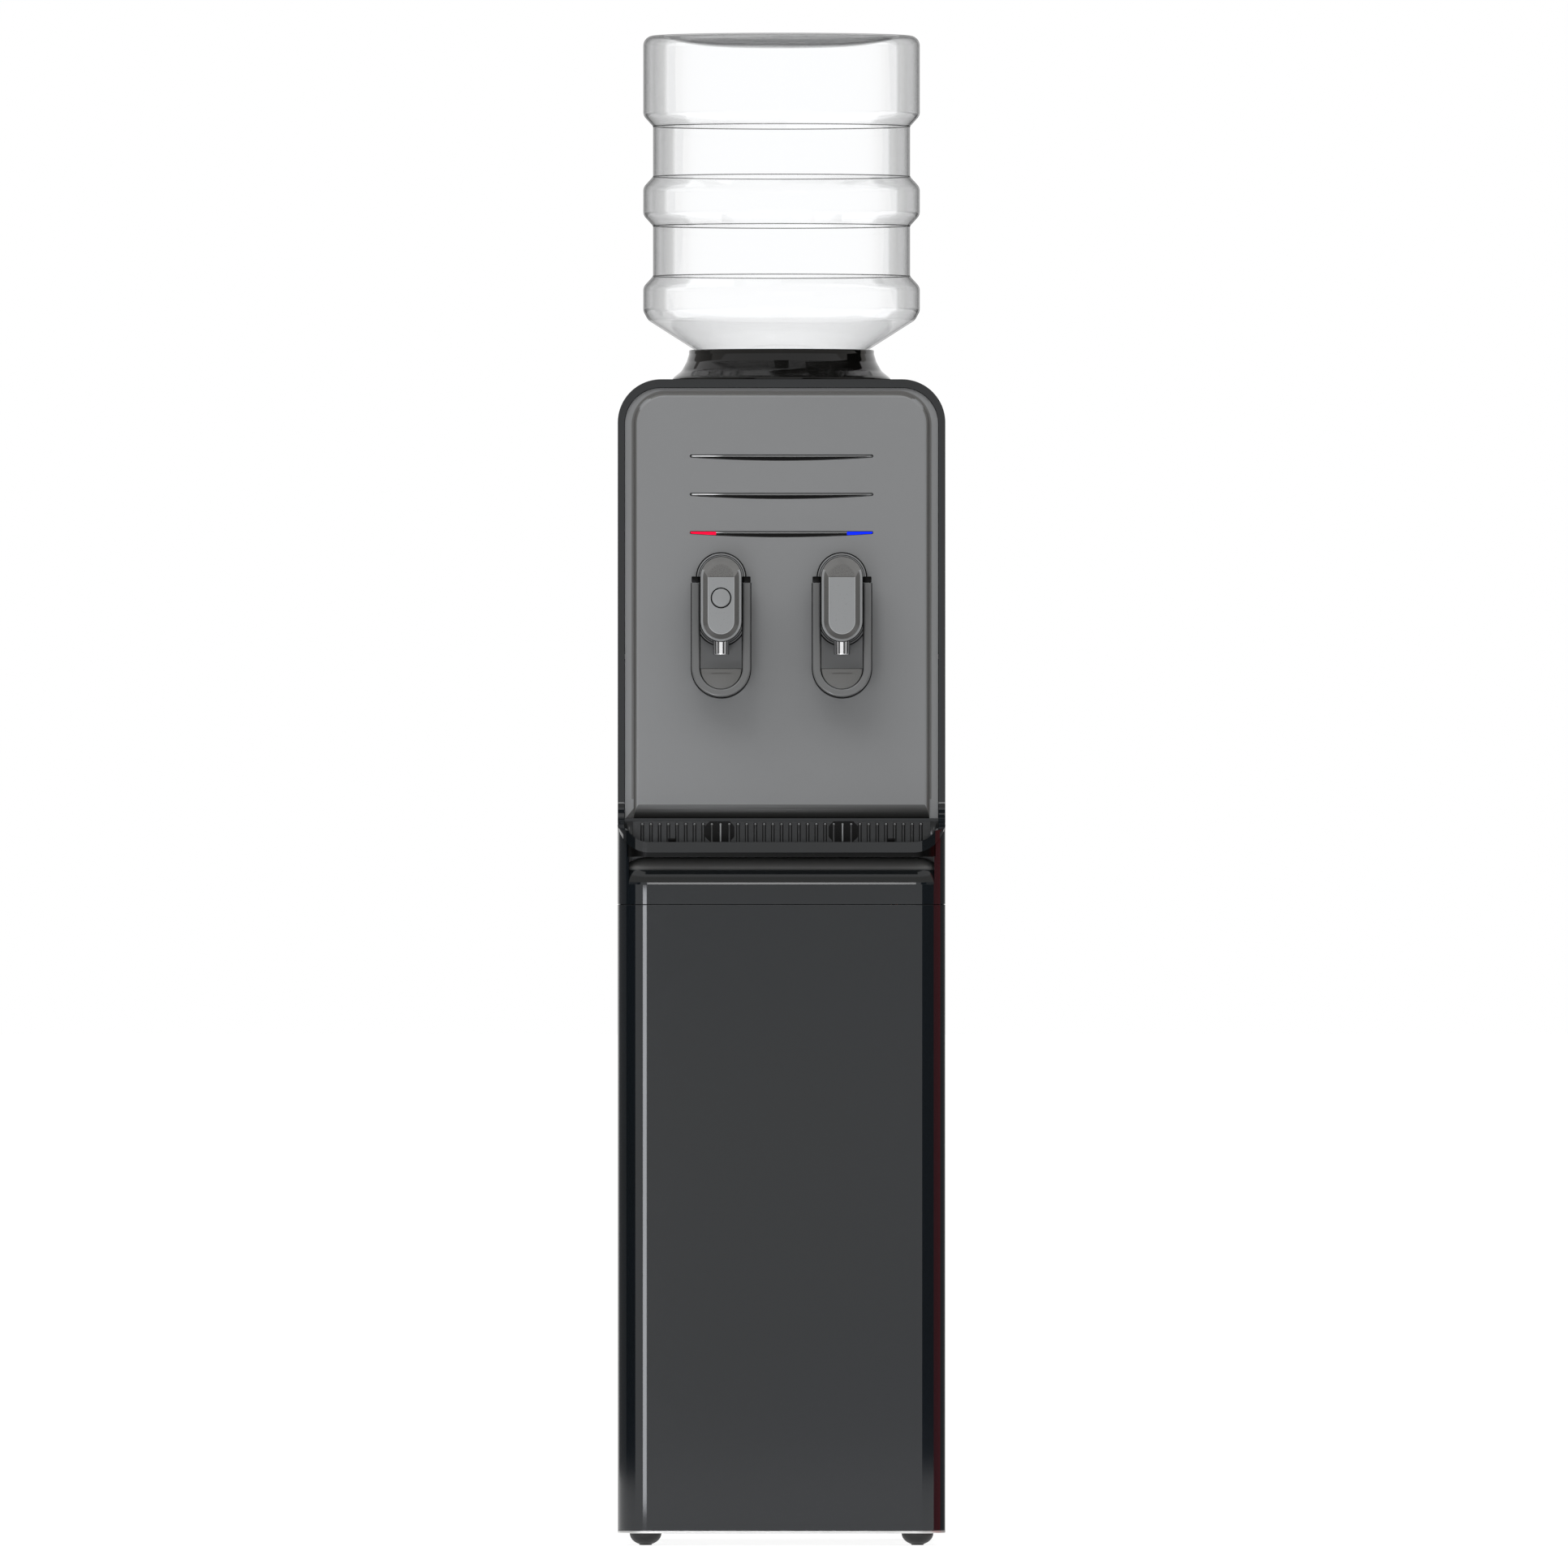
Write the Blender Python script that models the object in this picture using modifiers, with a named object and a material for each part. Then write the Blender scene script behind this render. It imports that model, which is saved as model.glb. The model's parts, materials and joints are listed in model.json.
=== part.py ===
"""Floor-standing water dispenser: inverted bottle, hot and cold taps, lift-out drip tray.

Metres, +Z up, the front faces -Y. The origin is on the floor under the middle of the body.
"""
import math

import bmesh
import bpy
from mathutils import Matrix

# Overall sizes
BODY_WIDTH = 0.318
BODY_TOP = 1.1306
OVERALL_DEPTH = 0.330
CORNER_RADIUS = 0.029
SHEET = 0.0015
MOULDING = 0.0025
GAP = 0.0003
OVERRUN = 0.004
WELD = 0.000001
ROUND_STEPS = 28
SMALL_STEPS = 16
CORNER_STEPS = 6

HALF_WIDTH = BODY_WIDTH / 2
LIP_FRONT = -OVERALL_DEPTH / 2
REAR_END = OVERALL_DEPTH / 2

# Depths of the faces, from the tray lip back
LIP_OVERHANG = 0.010
TAP_RECESS = 0.068
BEZEL_DEPTH = 0.0067
REAR_SPACE = 0.0247
BODY_FRONT = LIP_FRONT + LIP_OVERHANG
BEZEL_FRONT = BODY_FRONT + TAP_RECESS
BEZEL_BACK = BEZEL_FRONT + BEZEL_DEPTH
BODY_BACK = REAR_END - REAR_SPACE
SIDE_BACK = BODY_BACK - SHEET - GAP

# Heights
FOOT_HEIGHT = 0.0115
BASE_PLATE = 0.0025
SEAM_GAP = 0.0006
SHOULDER_HEIGHT = 0.6667
SHOULDER_ABOVE_SEAM = 0.0457
SHOULDER_RADIUS = 0.0243
LIP_GROOVE = 0.0047
LIP_HEIGHT = 0.0101
SEAM_HEIGHT = SHOULDER_HEIGHT - SHOULDER_ABOVE_SEAM
BASE_BOTTOM = FOOT_HEIGHT + GAP
BASE_TOP = BASE_BOTTOM + BASE_PLATE
LOWER_BOTTOM = BASE_TOP + GAP
LOWER_TOP = SEAM_HEIGHT - SEAM_GAP / 2
UPPER_BOTTOM = SEAM_HEIGHT + SEAM_GAP / 2
LIP_BOTTOM = SHOULDER_HEIGHT + LIP_GROOVE
LIP_TOP = LIP_BOTTOM + LIP_HEIGHT

# Feet and floor pan
FOOT_RADIUS = 0.0155
FOOT_SOLE_RADIUS = 0.006
FOOT_SWEEP = 67.0
FOOT_INSET_X = 0.0272
FOOT_INSET_Y = 0.030
PAN_RIM = 0.016
PAN_INSET = 0.0030

# Top corners and the black frame
TOP_RADIUS = 0.042
FRAME_SIDE = 0.0065
FRAME_TOP = 0.0079
FRAME_LOW_RADIUS = 0.031
FRAME_LOW_INNER_RADIUS = 0.024
LIP_WALL = 0.0065
LIP_NOSE = 0.012
ARM_TOP = 0.0385
ARM_FILLET = 0.007

# Front moulding under the tray
WAIST_FLOOR = 0.0085
DECK_DEPTH = 0.030
CHEEK_RUN = 0.0325

# Tap panel
PANEL_GAP = 0.0005
PANEL_ABOVE_LIP = 0.0220
PANEL_BOTTOM = LIP_TOP + PANEL_ABOVE_LIP
PANEL_STRIP_SET_BACK = 0.0025
PANEL_STRIP = 0.0030
PILLOW_RISE = 0.0060
PILLOW_INSET_X = 0.0085
PILLOW_INSET_TOP = 0.0047
PILLOW_ROUND = 0.005
PANEL_WALL = 0.0030
PANEL_BACK_RIM = 0.0045
ROLL_HEIGHT = 0.0195
ROLL_DEPTH = 0.0078

# Smile-shaped grooves in the tap panel
GROOVE_DROPS = (0.0731, 0.1103, 0.1474)
GROOVE_HEIGHTS = tuple(BODY_TOP - drop for drop in GROOVE_DROPS)
GROOVE_LENGTH = 0.1752
GROOVE_END = 0.0030
GROOVE_SAG = 0.0030
GROOVE_DEPTH = 0.0018
LIGHT_LENGTH = 0.0240
LIGHT_THICKNESS = 0.0010
LIGHT_CLEARANCE = 0.0004

# Taps
TAP_SPACING = 0.1172
TAP_ABOVE_LIP = 0.2355
TAP_RISE = 0.0211
TAP_FALL = 0.0213
SHANK_HEIGHT = LIP_TOP + TAP_ABOVE_LIP
TAP_HIGH = SHANK_HEIGHT + TAP_RISE
TAP_LOW = SHANK_HEIGHT - TAP_FALL
ESCUTCHEON_RADIUS = 0.0239
ESCUTCHEON_THICKNESS = 0.0042
TAP_BODY_RADIUS = 0.0160
TAP_BODY_DEPTH = 0.0297
SHANK_RADIUS = 0.0080
SHANK_LENGTH = 0.0213
WATERWAY_RADIUS = 0.0036
HEAD_RADIUS = 0.0198
HEAD_DEPTH = 0.0187
HEAD_CHAMFER = 0.0044
HEAD_RIM = 0.0023
HEAD_SLOPE_RUN = 0.0130
NOZZLE_RADIUS = 0.0073
NOZZLE_BORE = 0.0050
NOZZLE_DROP = 0.0540
NOZZLE_BOTTOM = SHANK_HEIGHT - NOZZLE_DROP
NOZZLE_SET = 0.0296
NOZZLE_SOCKET_DROP = 0.0245
NOZZLE_TOP = SHANK_HEIGHT - NOZZLE_SOCKET_DROP
CHAMBER_RADIUS = 0.0050
CHAMBER_RISE = 0.0130
CHAMBER_TOP = SHANK_HEIGHT + CHAMBER_RISE
STEM_RADIUS = 0.0044
STEM_LENGTH = 0.0287
STEM_SEAT_GAP = 0.0012
PIVOT_RISE = 0.0190
PIVOT_HEIGHT = SHANK_HEIGHT + PIVOT_RISE
PIVOT_RADIUS = 0.0029
PIVOT_CLEARANCE = 0.0003
PIVOT_FORWARD = 0.0170
NUT_RADIUS = 0.0130
NUT_THICKNESS = 0.0070
BUTTON_RADIUS = 0.0094
BUTTON_RISE = 0.0010
BUTTON_HEIGHT = SHANK_HEIGHT + BUTTON_RISE
BUTTON_LENGTH = 0.0085
BUTTON_PROUD = 0.0005
BUTTON_TRAVEL = 0.0025
BUTTON_CLEARANCE = 0.0005

# Push levers
LEVER_HALF_WIDTH = 0.0289
LEVER_BAND = 0.0085
LEVER_THICKNESS = 0.0070
LEVER_REACH = 0.0870
LEVER_TILT = 8.0
PADDLE_THICKNESS = 0.0030
PADDLE_MARK_LENGTH = 0.0188
PADDLE_MARK_HEIGHT = 0.0016
PADDLE_MARK_DEPTH = 0.0006
PADDLE_MARK_DROP = 0.0045

# Collar, bottle and its cap
COLLAR_RISE = 0.0300
COLLAR_MOUTH = 0.0868
COLLAR_RIM = 0.0903
COLLAR_BASE = 0.1060
BOTTLE_FORWARD = 0.0026
BOTTLE_Y = (BEZEL_BACK + SIDE_BACK) / 2 - BOTTLE_FORWARD
COLLAR_TUBE = 0.0490
COLLAR_WALL = 0.0025
COLLAR_DROP = 0.0590
FUNNEL_SLOPE = 0.6104
PROBE_RADIUS = 0.0070
PROBE_BORE = 0.0045
PROBE_HEIGHT = 0.0420
PROBE_TIP = 0.0090
PROBE_DISC = 0.0030
PROBE_PORTS = 6
PROBE_PORT_RADIUS = 0.0070
PROBE_PORT_CIRCLE = 0.0320
BOTTLE_RADIUS = 0.1347
BOTTLE_WAIST = 0.1252
BOTTLE_WALL = 0.0014
BOTTLE_SEAT_RADIUS = 0.0850
BOTTLE_SEAT_LIFT = 0.0004
BOTTLE_SLOPE = 0.636
BOTTLE_SHOULDER_RADIUS = 0.1300
SHOULDER_ROUND = 0.0089
LOW_BAND = 0.0235
MIDDLE_BAND = 0.0270
HIGH_BAND = 0.0592
WAIST_BAND = 0.0490
BAND_CHAMFER = 0.0105
BASE_ROUND = 0.0185
BASE_DISH = 0.0070
BASE_DISH_RADIUS = 0.095
DISH_EDGE_SHARE = 0.8
NECK_RADIUS = 0.0275
NECK_LENGTH = 0.0450
NECK_ROUND = 0.0050
CAP_WALL = 0.0020
CAP_SKIRT = 0.0180
CAP_CLEARANCE = 0.0005
CAP_HOLE = 0.0078

# Drip tray and grille
TRAY_CLEARANCE = 0.0005
TRAY_RISE = 0.0123
TRAY_TOP = SHOULDER_HEIGHT + TRAY_RISE
TRAY_WALL = 0.0020
TRAY_FLOOR = 0.0015
TRAY_WELL_DEPTH = 0.0212
TRAY_WELL_BOTTOM = SHOULDER_HEIGHT - TRAY_WELL_DEPTH
TRAY_WELL_FRONT = 0.0390
TRAY_WELL_INSET = 0.0030
FIN_COUNT = 33
FIN_PITCH = 0.00845
FIN_WIDTH = 0.0030
FIN_RISE = 0.0015
SLOT_FRONT = 0.0100
SLOT_BACK = 0.0120
BACKSPLASH = 0.0030
BACKSPLASH_DROP = 0.0017
BACKSPLASH_TOP = PANEL_BOTTOM - BACKSPLASH_DROP
BACKSPLASH_CLEARANCE = 0.0007
FIN_TOP_DROP = 0.0028

# Cold side
SHELF_RISE = 0.2387
SHELF_HEIGHT = UPPER_BOTTOM + SHELF_RISE
SHELF_THICKNESS = 0.0040
SHELF_SET_BACK = 0.0353
TANK_ROOM = 0.0194
TANK_LAGGING = 0.0200
TANK_WALL = 0.0015
EVAPORATOR_THICKNESS = 0.0030
EVAPORATOR_HEIGHT_SHARE = 0.59
EVAPORATOR_START_SHARE = 0.15
INSULATION_RADIUS = (SIDE_BACK - BEZEL_BACK) / 2 - TANK_ROOM
TANK_RADIUS = INSULATION_RADIUS - TANK_LAGGING
HOSE_RADIUS = 0.0045
COLD_PORT_X = 0.0200
HOSE_CLEARANCE = 0.0012

# Hot side
HOT_TANK_RADIUS = 0.0450
HOT_TANK_HEIGHT = 0.1500
HOT_TANK_X = -0.0550
HOT_TANK_BEHIND_AXIS = 0.0185
HOT_TANK_Y = BOTTLE_Y + HOT_TANK_BEHIND_AXIS
HOT_TANK_ROUND = 0.010
HEATER_THICKNESS = 0.0030
HEATER_HEIGHT = 0.0500
HEATER_START = 0.0350
HOT_PORT_DROP = 0.0420
HOT_PORT_HEIGHT = SHELF_HEIGHT - HOT_PORT_DROP
DRAIN_RISE = 0.0150
DRAIN_HEIGHT = SHELF_HEIGHT - HOT_TANK_HEIGHT + DRAIN_RISE
DRAIN_END = 0.0120
DRAIN_CAP_RADIUS = 0.0110
DRAIN_CAP_LENGTH = 0.0160
DRAIN_CAP_WALL = 0.0025
DRAIN_HOLE_CLEARANCE = 0.0006

# Compressor and the line to the evaporator
COMPRESSOR_X = 0.0200
COMPRESSOR_RADIUS = 0.0620
COMPRESSOR_BACK_ROOM = 0.0283
COMPRESSOR_Y = BODY_BACK - COMPRESSOR_BACK_ROOM - COMPRESSOR_RADIUS
COMPRESSOR_HEIGHT = 0.1300
COMPRESSOR_DOME = 0.0280
COMPRESSOR_PLATE = 0.0034
COMPRESSOR_PLATE_WIDTH = 0.1500
COMPRESSOR_PLATE_DEPTH = 0.1200
LINE_RADIUS = 0.0032
LINE_BESIDE_TANK = 0.0200
LINE_X = INSULATION_RADIUS + LINE_BESIDE_TANK
LINE_BEND = 0.0200

# Condenser behind the back panel
CONDENSER_TUBE = 0.0024
CONDENSER_RUNS = 11
CONDENSER_PITCH = 0.0400
CONDENSER_START = 0.1200
CONDENSER_INSET = 0.0390
CONDENSER_HALF = HALF_WIDTH - CONDENSER_INSET
CONDENSER_FRAME_BAR = 0.0100
CONDENSER_FRAME_MARGIN = 0.0150

# Back panel details
VENT_COUNT = 7
VENT_PITCH = 0.0120
VENT_INSET = 0.0690
VENT_LENGTH = 2 * (HALF_WIDTH - VENT_INSET)
VENT_HEIGHT = 0.0050
VENT_START = 0.0300
SWITCH_DROP = 0.2006
SWITCH_HEIGHT = BODY_TOP - SWITCH_DROP
SWITCH_SPACING = 0.0340
SWITCH_INSET = 0.0790
SWITCH_X = HALF_WIDTH - SWITCH_INSET
SWITCH_PLATE_WIDTH = 0.0720
SWITCH_PLATE_HEIGHT = 0.0400
SWITCH_PLATE_THICKNESS = 0.0060
ROCKER_WIDTH = 0.0150
ROCKER_HEIGHT = 0.0220
ROCKER_THICKNESS = 0.0045
ROCKER_TILT = 7.0
ROCKER_CLEARANCE = 0.0008
ROCKER_PEAK = 0.0014
INLET_INSET = 0.0440
INLET_X = INLET_INSET - HALF_WIDTH
INLET_HEIGHT = 0.0750
INLET_RADIUS = 0.0090
INLET_FLANGE = 0.0130
INLET_FLANGE_THICKNESS = 0.0030
INLET_LENGTH = 0.0140
INLET_BORE = 0.0042

# How a flat outline is laid, and the axis that its thickness runs along
PLAN = "Z"
FRONT = "Y"
SIDE = "X"
TURNS = {PLAN: Matrix.Identity(4), FRONT: Matrix.Rotation(math.radians(90), 4, "X"),
         SIDE: Matrix.Rotation(math.radians(120), 4, (1, 1, 1))}

for leftover in list(bpy.data.objects):
    bpy.data.objects.remove(leftover, do_unlink=True)

parts = bpy.data.collections.new("water_dispenser")
cutters = bpy.data.collections.new("cutters")
bpy.context.scene.collection.children.link(parts)
bpy.context.scene.collection.children.link(cutters)


def material(name, colour, roughness, metallic=0.0, alpha=1.0):
    """A Principled material in one plain colour."""
    made = bpy.data.materials.new(name)
    made.use_nodes = True
    shader = made.node_tree.nodes["Principled BSDF"]
    shader.inputs["Base Color"].default_value = (*colour, 1)
    shader.inputs["Roughness"].default_value = roughness
    shader.inputs["Metallic"].default_value = metallic
    shader.inputs["Alpha"].default_value = alpha
    made.diffuse_color = (*colour, alpha)
    return made


GREY = material("satin_grey_plastic", (0.225, 0.229, 0.232), 0.42)
LIGHT_GREY = material("light_grey_plastic", (0.30, 0.31, 0.32), 0.35)
GLOSS_BLACK = material("gloss_black_plastic", (0.030, 0.032, 0.035), 0.12)
BODY_BLACK = material("gloss_black_sheet", (0.045, 0.047, 0.050), 0.15)
MATT_BLACK = material("matt_black_plastic", (0.008, 0.008, 0.008), 0.60)
CHROME = material("chrome", (0.80, 0.80, 0.80), 0.08, metallic=1.0)
CLEAR = material("clear_bottle", (0.95, 0.97, 0.98), 0.05, alpha=0.25)
CAP_BLUE = material("cap_blue", (0.35, 0.55, 0.75), 0.45)
RED = material("red_light", (1.0, 0.004, 0.045), 0.30)
BLUE = material("blue_light", (0.004, 0.02, 1.0), 0.30)
STEEL = material("bare_steel", (0.55, 0.56, 0.57), 0.30, metallic=1.0)
ZINC = material("zinc_sheet", (0.60, 0.60, 0.60), 0.45, metallic=0.8)
FOAM = material("foam", (0.75, 0.72, 0.62), 0.90)
COPPER = material("copper_tube", (0.72, 0.36, 0.20), 0.30, metallic=1.0)
SILICONE = material("silicone_hose", (0.80, 0.80, 0.78), 0.50)
RUBBER = material("foot_rubber", (0.010, 0.010, 0.010), 0.55)


def arc(centre, radius, start, end, steps=CORNER_STEPS, squeeze=1.0):
    """Points on a circle's arc, angles in degrees, with its height scaled by squeeze."""
    points = []
    for step in range(steps + 1):
        angle = math.radians(start + (end - start) * step / steps)
        points.append((centre[0] + radius * math.cos(angle),
                       centre[1] + radius * squeeze * math.sin(angle)))
    return points


def rounded(left, right, low, high, low_radius, high_radius):
    """A rectangle whose two low corners and two high corners may be round."""
    outline = []
    corners = ((left, low, low_radius, 1, 1, 180), (right, low, low_radius, -1, 1, 270),
               (right, high, high_radius, -1, -1, 0), (left, high, high_radius, 1, -1, 90))
    for u, v, radius, inward_u, inward_v, start in corners:
        if radius > 0:
            centre = (u + inward_u * radius, v + inward_v * radius)
            outline += arc(centre, radius, start, start + 90)
        else:
            outline.append((u, v))
    return outline


def channel(half, open_end, closed_end, radius, wall):
    """A U-shaped strip that is open at open_end and has round corners at closed_end."""
    sign = 1 if closed_end > open_end else -1
    length = abs(closed_end - open_end)

    def path(inset):
        turn = radius - inset
        side = half - inset
        top = length - inset
        points = [(-side, 0)]
        points += arc((turn - side, top - turn), turn, 180, 90)
        points += arc((side - turn, top - turn), turn, 90, 0)
        points.append((side, 0))
        return [(u, open_end + sign * v) for u, v in points]

    return path(0) + path(wall)[::-1]


def capsule(radius, low, high, middle=0, steps=2 * CORNER_STEPS):
    """An upright slot shape between two arc centres."""
    return arc((middle, low), radius, 180, 360, steps) + arc((middle, high), radius, 0, 180, steps)


def circle(centre, radius, steps=SMALL_STEPS):
    return arc(centre, radius, 0, 360, steps)[:-1]


def add(name, mesh, finish, collection=None):
    made = bpy.data.objects.new(name, mesh)
    (collection or parts).objects.link(made)
    if finish:
        mesh.materials.clear()
        mesh.materials.append(finish)
    return made


def tidy_mesh(mesh):
    """Weld the loose caps and turn every face outwards."""
    work = bmesh.new()
    work.from_mesh(mesh)
    bmesh.ops.remove_doubles(work, verts=work.verts, dist=WELD)
    bmesh.ops.recalc_face_normals(work, faces=work.faces)
    work.to_mesh(mesh)
    work.free()


def shade(piece, angle=40):
    piece.data.shade_smooth()
    piece.data.set_sharp_from_angle(angle=math.radians(angle))
    return piece


def plate(name, outlines, low, high, plane, finish, origin=(0, 0, 0)):
    """Flat outlines, the rim first and then any holes, with a thickness from low to high.

    PLAN outlines are (x, y) and run up z, FRONT ones (x, z) and run along y, SIDE ones (y, z)
    and run along x. The outlines are measured from origin, where the object's origin is put.
    """
    curve = bpy.data.curves.new(name, "CURVE")
    curve.dimensions = "2D"
    curve.fill_mode = "BOTH"
    curve.extrude = (high - low) / 2
    for outline in outlines:
        spline = curve.splines.new("POLY")
        spline.points.add(len(outline) - 1)
        for point, (u, v) in zip(spline.points, outline):
            point.co = (u, v, 0, 1)
        spline.use_cyclic_u = True
    holder = bpy.data.objects.new(name, curve)
    bpy.context.scene.collection.objects.link(holder)
    along = [0, 0, 0]
    along["XYZ".index(plane)] = (low + high) / 2
    holder.matrix_world = Matrix.Translation(along) @ TURNS[plane]
    bpy.context.view_layer.update()
    seen = holder.evaluated_get(bpy.context.evaluated_depsgraph_get())
    mesh = bpy.data.meshes.new_from_object(seen)
    mesh.transform(holder.matrix_world)
    bpy.data.objects.remove(holder, do_unlink=True)
    tidy_mesh(mesh)
    made = add(name, mesh, finish)
    made.location = origin
    return shade(made)


def block(name, low, high, finish, bevel=0, segments=2):
    """A box between two corners, with its origin at its middle."""
    size = [high[axis] - low[axis] for axis in range(3)]
    middle = [(high[axis] + low[axis]) / 2 for axis in range(3)]
    work = bmesh.new()
    bmesh.ops.create_cube(work, size=1, matrix=Matrix.Diagonal((*size, 1)))
    mesh = bpy.data.meshes.new(name)
    work.to_mesh(mesh)
    work.free()
    made = add(name, mesh, finish)
    made.location = middle
    if bevel:
        rounding = made.modifiers.new("edges", "BEVEL")
        rounding.width = bevel
        rounding.segments = segments
    return shade(made)


def turned(name, profile, finish, at=(0, 0, 0), closed=True, steps=ROUND_STEPS, turn=None):
    """A profile of (radius, height) points, outer side running down, turned about its height.

    turn is a rotation that lays the axis along another direction. An open profile starts and
    ends on the axis.
    """
    count = len(profile)
    edges = [(index, index + 1) for index in range(count - 1)]
    if closed:
        edges.append((count - 1, 0))
    mesh = bpy.data.meshes.new(name)
    mesh.from_pydata([(radius, 0, height) for radius, height in profile], edges, [])
    made = add(name, mesh, finish)
    made.location = at
    if turn:
        made.rotation_euler = turn
    screw = made.modifiers.new("turn", "SCREW")
    screw.steps = steps
    screw.render_steps = steps
    screw.use_merge_vertices = True
    screw.merge_threshold = WELD
    screw.use_smooth_shade = True
    return made


def rod(name, radius, low, high, finish, at=(0, 0, 0), turn=None, steps=SMALL_STEPS):
    """A solid cylinder from low to high along its axis."""
    profile = [(0, high), (radius, high), (radius, low), (0, low)]
    return turned(name, profile, finish, at, closed=False, steps=steps, turn=turn)


def ring(name, outer, inner, low, high, finish, at=(0, 0, 0), turn=None, steps=SMALL_STEPS):
    """A tube with square ends."""
    profile = [(outer, high), (outer, low), (inner, low), (inner, high)]
    return turned(name, profile, finish, at, steps=steps, turn=turn)


def tube(name, points, radius, finish, sides=2):
    """A round tube along a list of points."""
    curve = bpy.data.curves.new(name, "CURVE")
    curve.dimensions = "3D"
    curve.bevel_depth = radius
    curve.bevel_resolution = sides
    curve.use_fill_caps = True
    spline = curve.splines.new("POLY")
    spline.points.add(len(points) - 1)
    for point, place in zip(spline.points, points):
        point.co = (*place, 1)
    made = bpy.data.objects.new(name, curve)
    parts.objects.link(made)
    curve.materials.append(finish)
    return made


def round_corners(points, radius, steps=3):
    """A path's corners rounded to one radius."""
    path = [points[0]]
    for before, corner, after in zip(points, points[1:], points[2:]):
        back = [b - c for b, c in zip(before, corner)]
        on = [a - c for a, c in zip(after, corner)]
        back_length = math.sqrt(sum(value * value for value in back))
        on_length = math.sqrt(sum(value * value for value in on))
        start = [c + value * radius / back_length for c, value in zip(corner, back)]
        end = [c + value * radius / on_length for c, value in zip(corner, on)]
        for step in range(steps + 1):
            share = step / steps
            path.append(tuple((1 - share) ** 2 * s + 2 * share * (1 - share) * c + share ** 2 * e
                              for s, c, e in zip(start, corner, end)))
    path.append(points[-1])
    return path


def combine(target, other, operation="DIFFERENCE"):
    """Cut, join or trim the target with another object, which is kept as a guide."""
    step = target.modifiers.new(other.name, "BOOLEAN")
    step.operation = operation
    step.object = other
    step.solver = "EXACT"
    parts.objects.unlink(other)
    cutters.objects.link(other)
    other.hide_render = True
    other.display_type = "WIRE"
    return target


def body_plan(inset, back):
    """The cabinet's outline seen from above, its front corners round."""
    half = HALF_WIDTH - inset
    return rounded(-half, half, BODY_FRONT + inset, back, CORNER_RADIUS - inset, 0)


def make_base():
    half = HALF_WIDTH - PAN_INSET
    front = BODY_FRONT + PAN_INSET
    pan = plate("base_pan", [body_plan(0, SIDE_BACK)], BASE_BOTTOM, BASE_TOP, PLAN, ZINC)
    rim_outer = rounded(-half, half, front, SIDE_BACK - PAN_INSET, CORNER_RADIUS - PAN_INSET, 0)
    inner = half - SHEET
    rim_inner = rounded(-inner, inner, front + SHEET, SIDE_BACK - PAN_INSET - SHEET,
                        CORNER_RADIUS - PAN_INSET - SHEET, 0)
    rim = plate("join_pan_rim", [rim_outer, rim_inner], BASE_TOP - BASE_PLATE / 2,
                BASE_BOTTOM + PAN_RIM, PLAN, None)
    combine(pan, rim, "UNION")

    foot_x = HALF_WIDTH - FOOT_INSET_X
    dome = arc((0, FOOT_HEIGHT), FOOT_RADIUS, 0, -FOOT_SWEEP, 4, squeeze=FOOT_HEIGHT / FOOT_RADIUS)
    profile = [(0, FOOT_HEIGHT)] + dome[:-1] + [(FOOT_SOLE_RADIUS, 0), (0, 0)]
    places = {"foot_front_left": (-foot_x, BODY_FRONT + FOOT_INSET_Y),
              "foot_front_right": (foot_x, BODY_FRONT + FOOT_INSET_Y),
              "foot_rear_left": (-foot_x, SIDE_BACK - FOOT_INSET_Y),
              "foot_rear_right": (foot_x, SIDE_BACK - FOOT_INSET_Y)}
    for name, (x, y) in places.items():
        turned(name, profile, RUBBER, at=(x, y, 0), closed=False, steps=SMALL_STEPS)


def make_lower_cabinet():
    wrap_back = BODY_FRONT + 2 * CORNER_RADIUS
    wrap = channel(HALF_WIDTH, wrap_back, BODY_FRONT, CORNER_RADIUS, SHEET)
    plate("lower_front_panel", [wrap], LOWER_BOTTOM, LOWER_TOP, PLAN, BODY_BLACK)
    for name, side in (("lower_side_left", -1), ("lower_side_right", 1)):
        inner, outer = sorted((side * HALF_WIDTH, side * (HALF_WIDTH - SHEET)))
        block(name, (inner, wrap_back + GAP, LOWER_BOTTOM), (outer, SIDE_BACK, LOWER_TOP), BODY_BLACK)

    outline = rounded(-HALF_WIDTH, HALF_WIDTH, LOWER_BOTTOM, LOWER_TOP, 0, 0)
    holes = []
    for index in range(VENT_COUNT):
        low = LOWER_BOTTOM + VENT_START + index * VENT_PITCH
        holes.append(rounded(-VENT_LENGTH / 2, VENT_LENGTH / 2, low, low + VENT_HEIGHT, 0, 0)[::-1])
    holes.append(circle((INLET_X, INLET_HEIGHT), INLET_RADIUS + GAP)[::-1])
    line_height = CONDENSER_START
    holes.append(circle((-CONDENSER_HALF, line_height), CONDENSER_TUBE + DRAIN_HOLE_CLEARANCE)[::-1])
    plate("lower_rear_panel", [outline] + holes, BODY_BACK - SHEET, BODY_BACK, FRONT, BODY_BLACK)


def frame_outline(extra=0):
    """The black frame's outer outline seen from the front."""
    half = HALF_WIDTH + extra
    return rounded(-half, half, LIP_BOTTOM - extra, BODY_TOP + extra, FRAME_LOW_RADIUS + extra,
                   TOP_RADIUS + extra)


def window_plan(inset, back):
    """The opening for the drip tray seen from above, from behind the lip to a given back."""
    half = HALF_WIDTH - FRAME_SIDE - inset
    return rounded(-half, half, LIP_FRONT + LIP_WALL + inset, back, CORNER_RADIUS - LIP_WALL - inset, 0)


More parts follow.
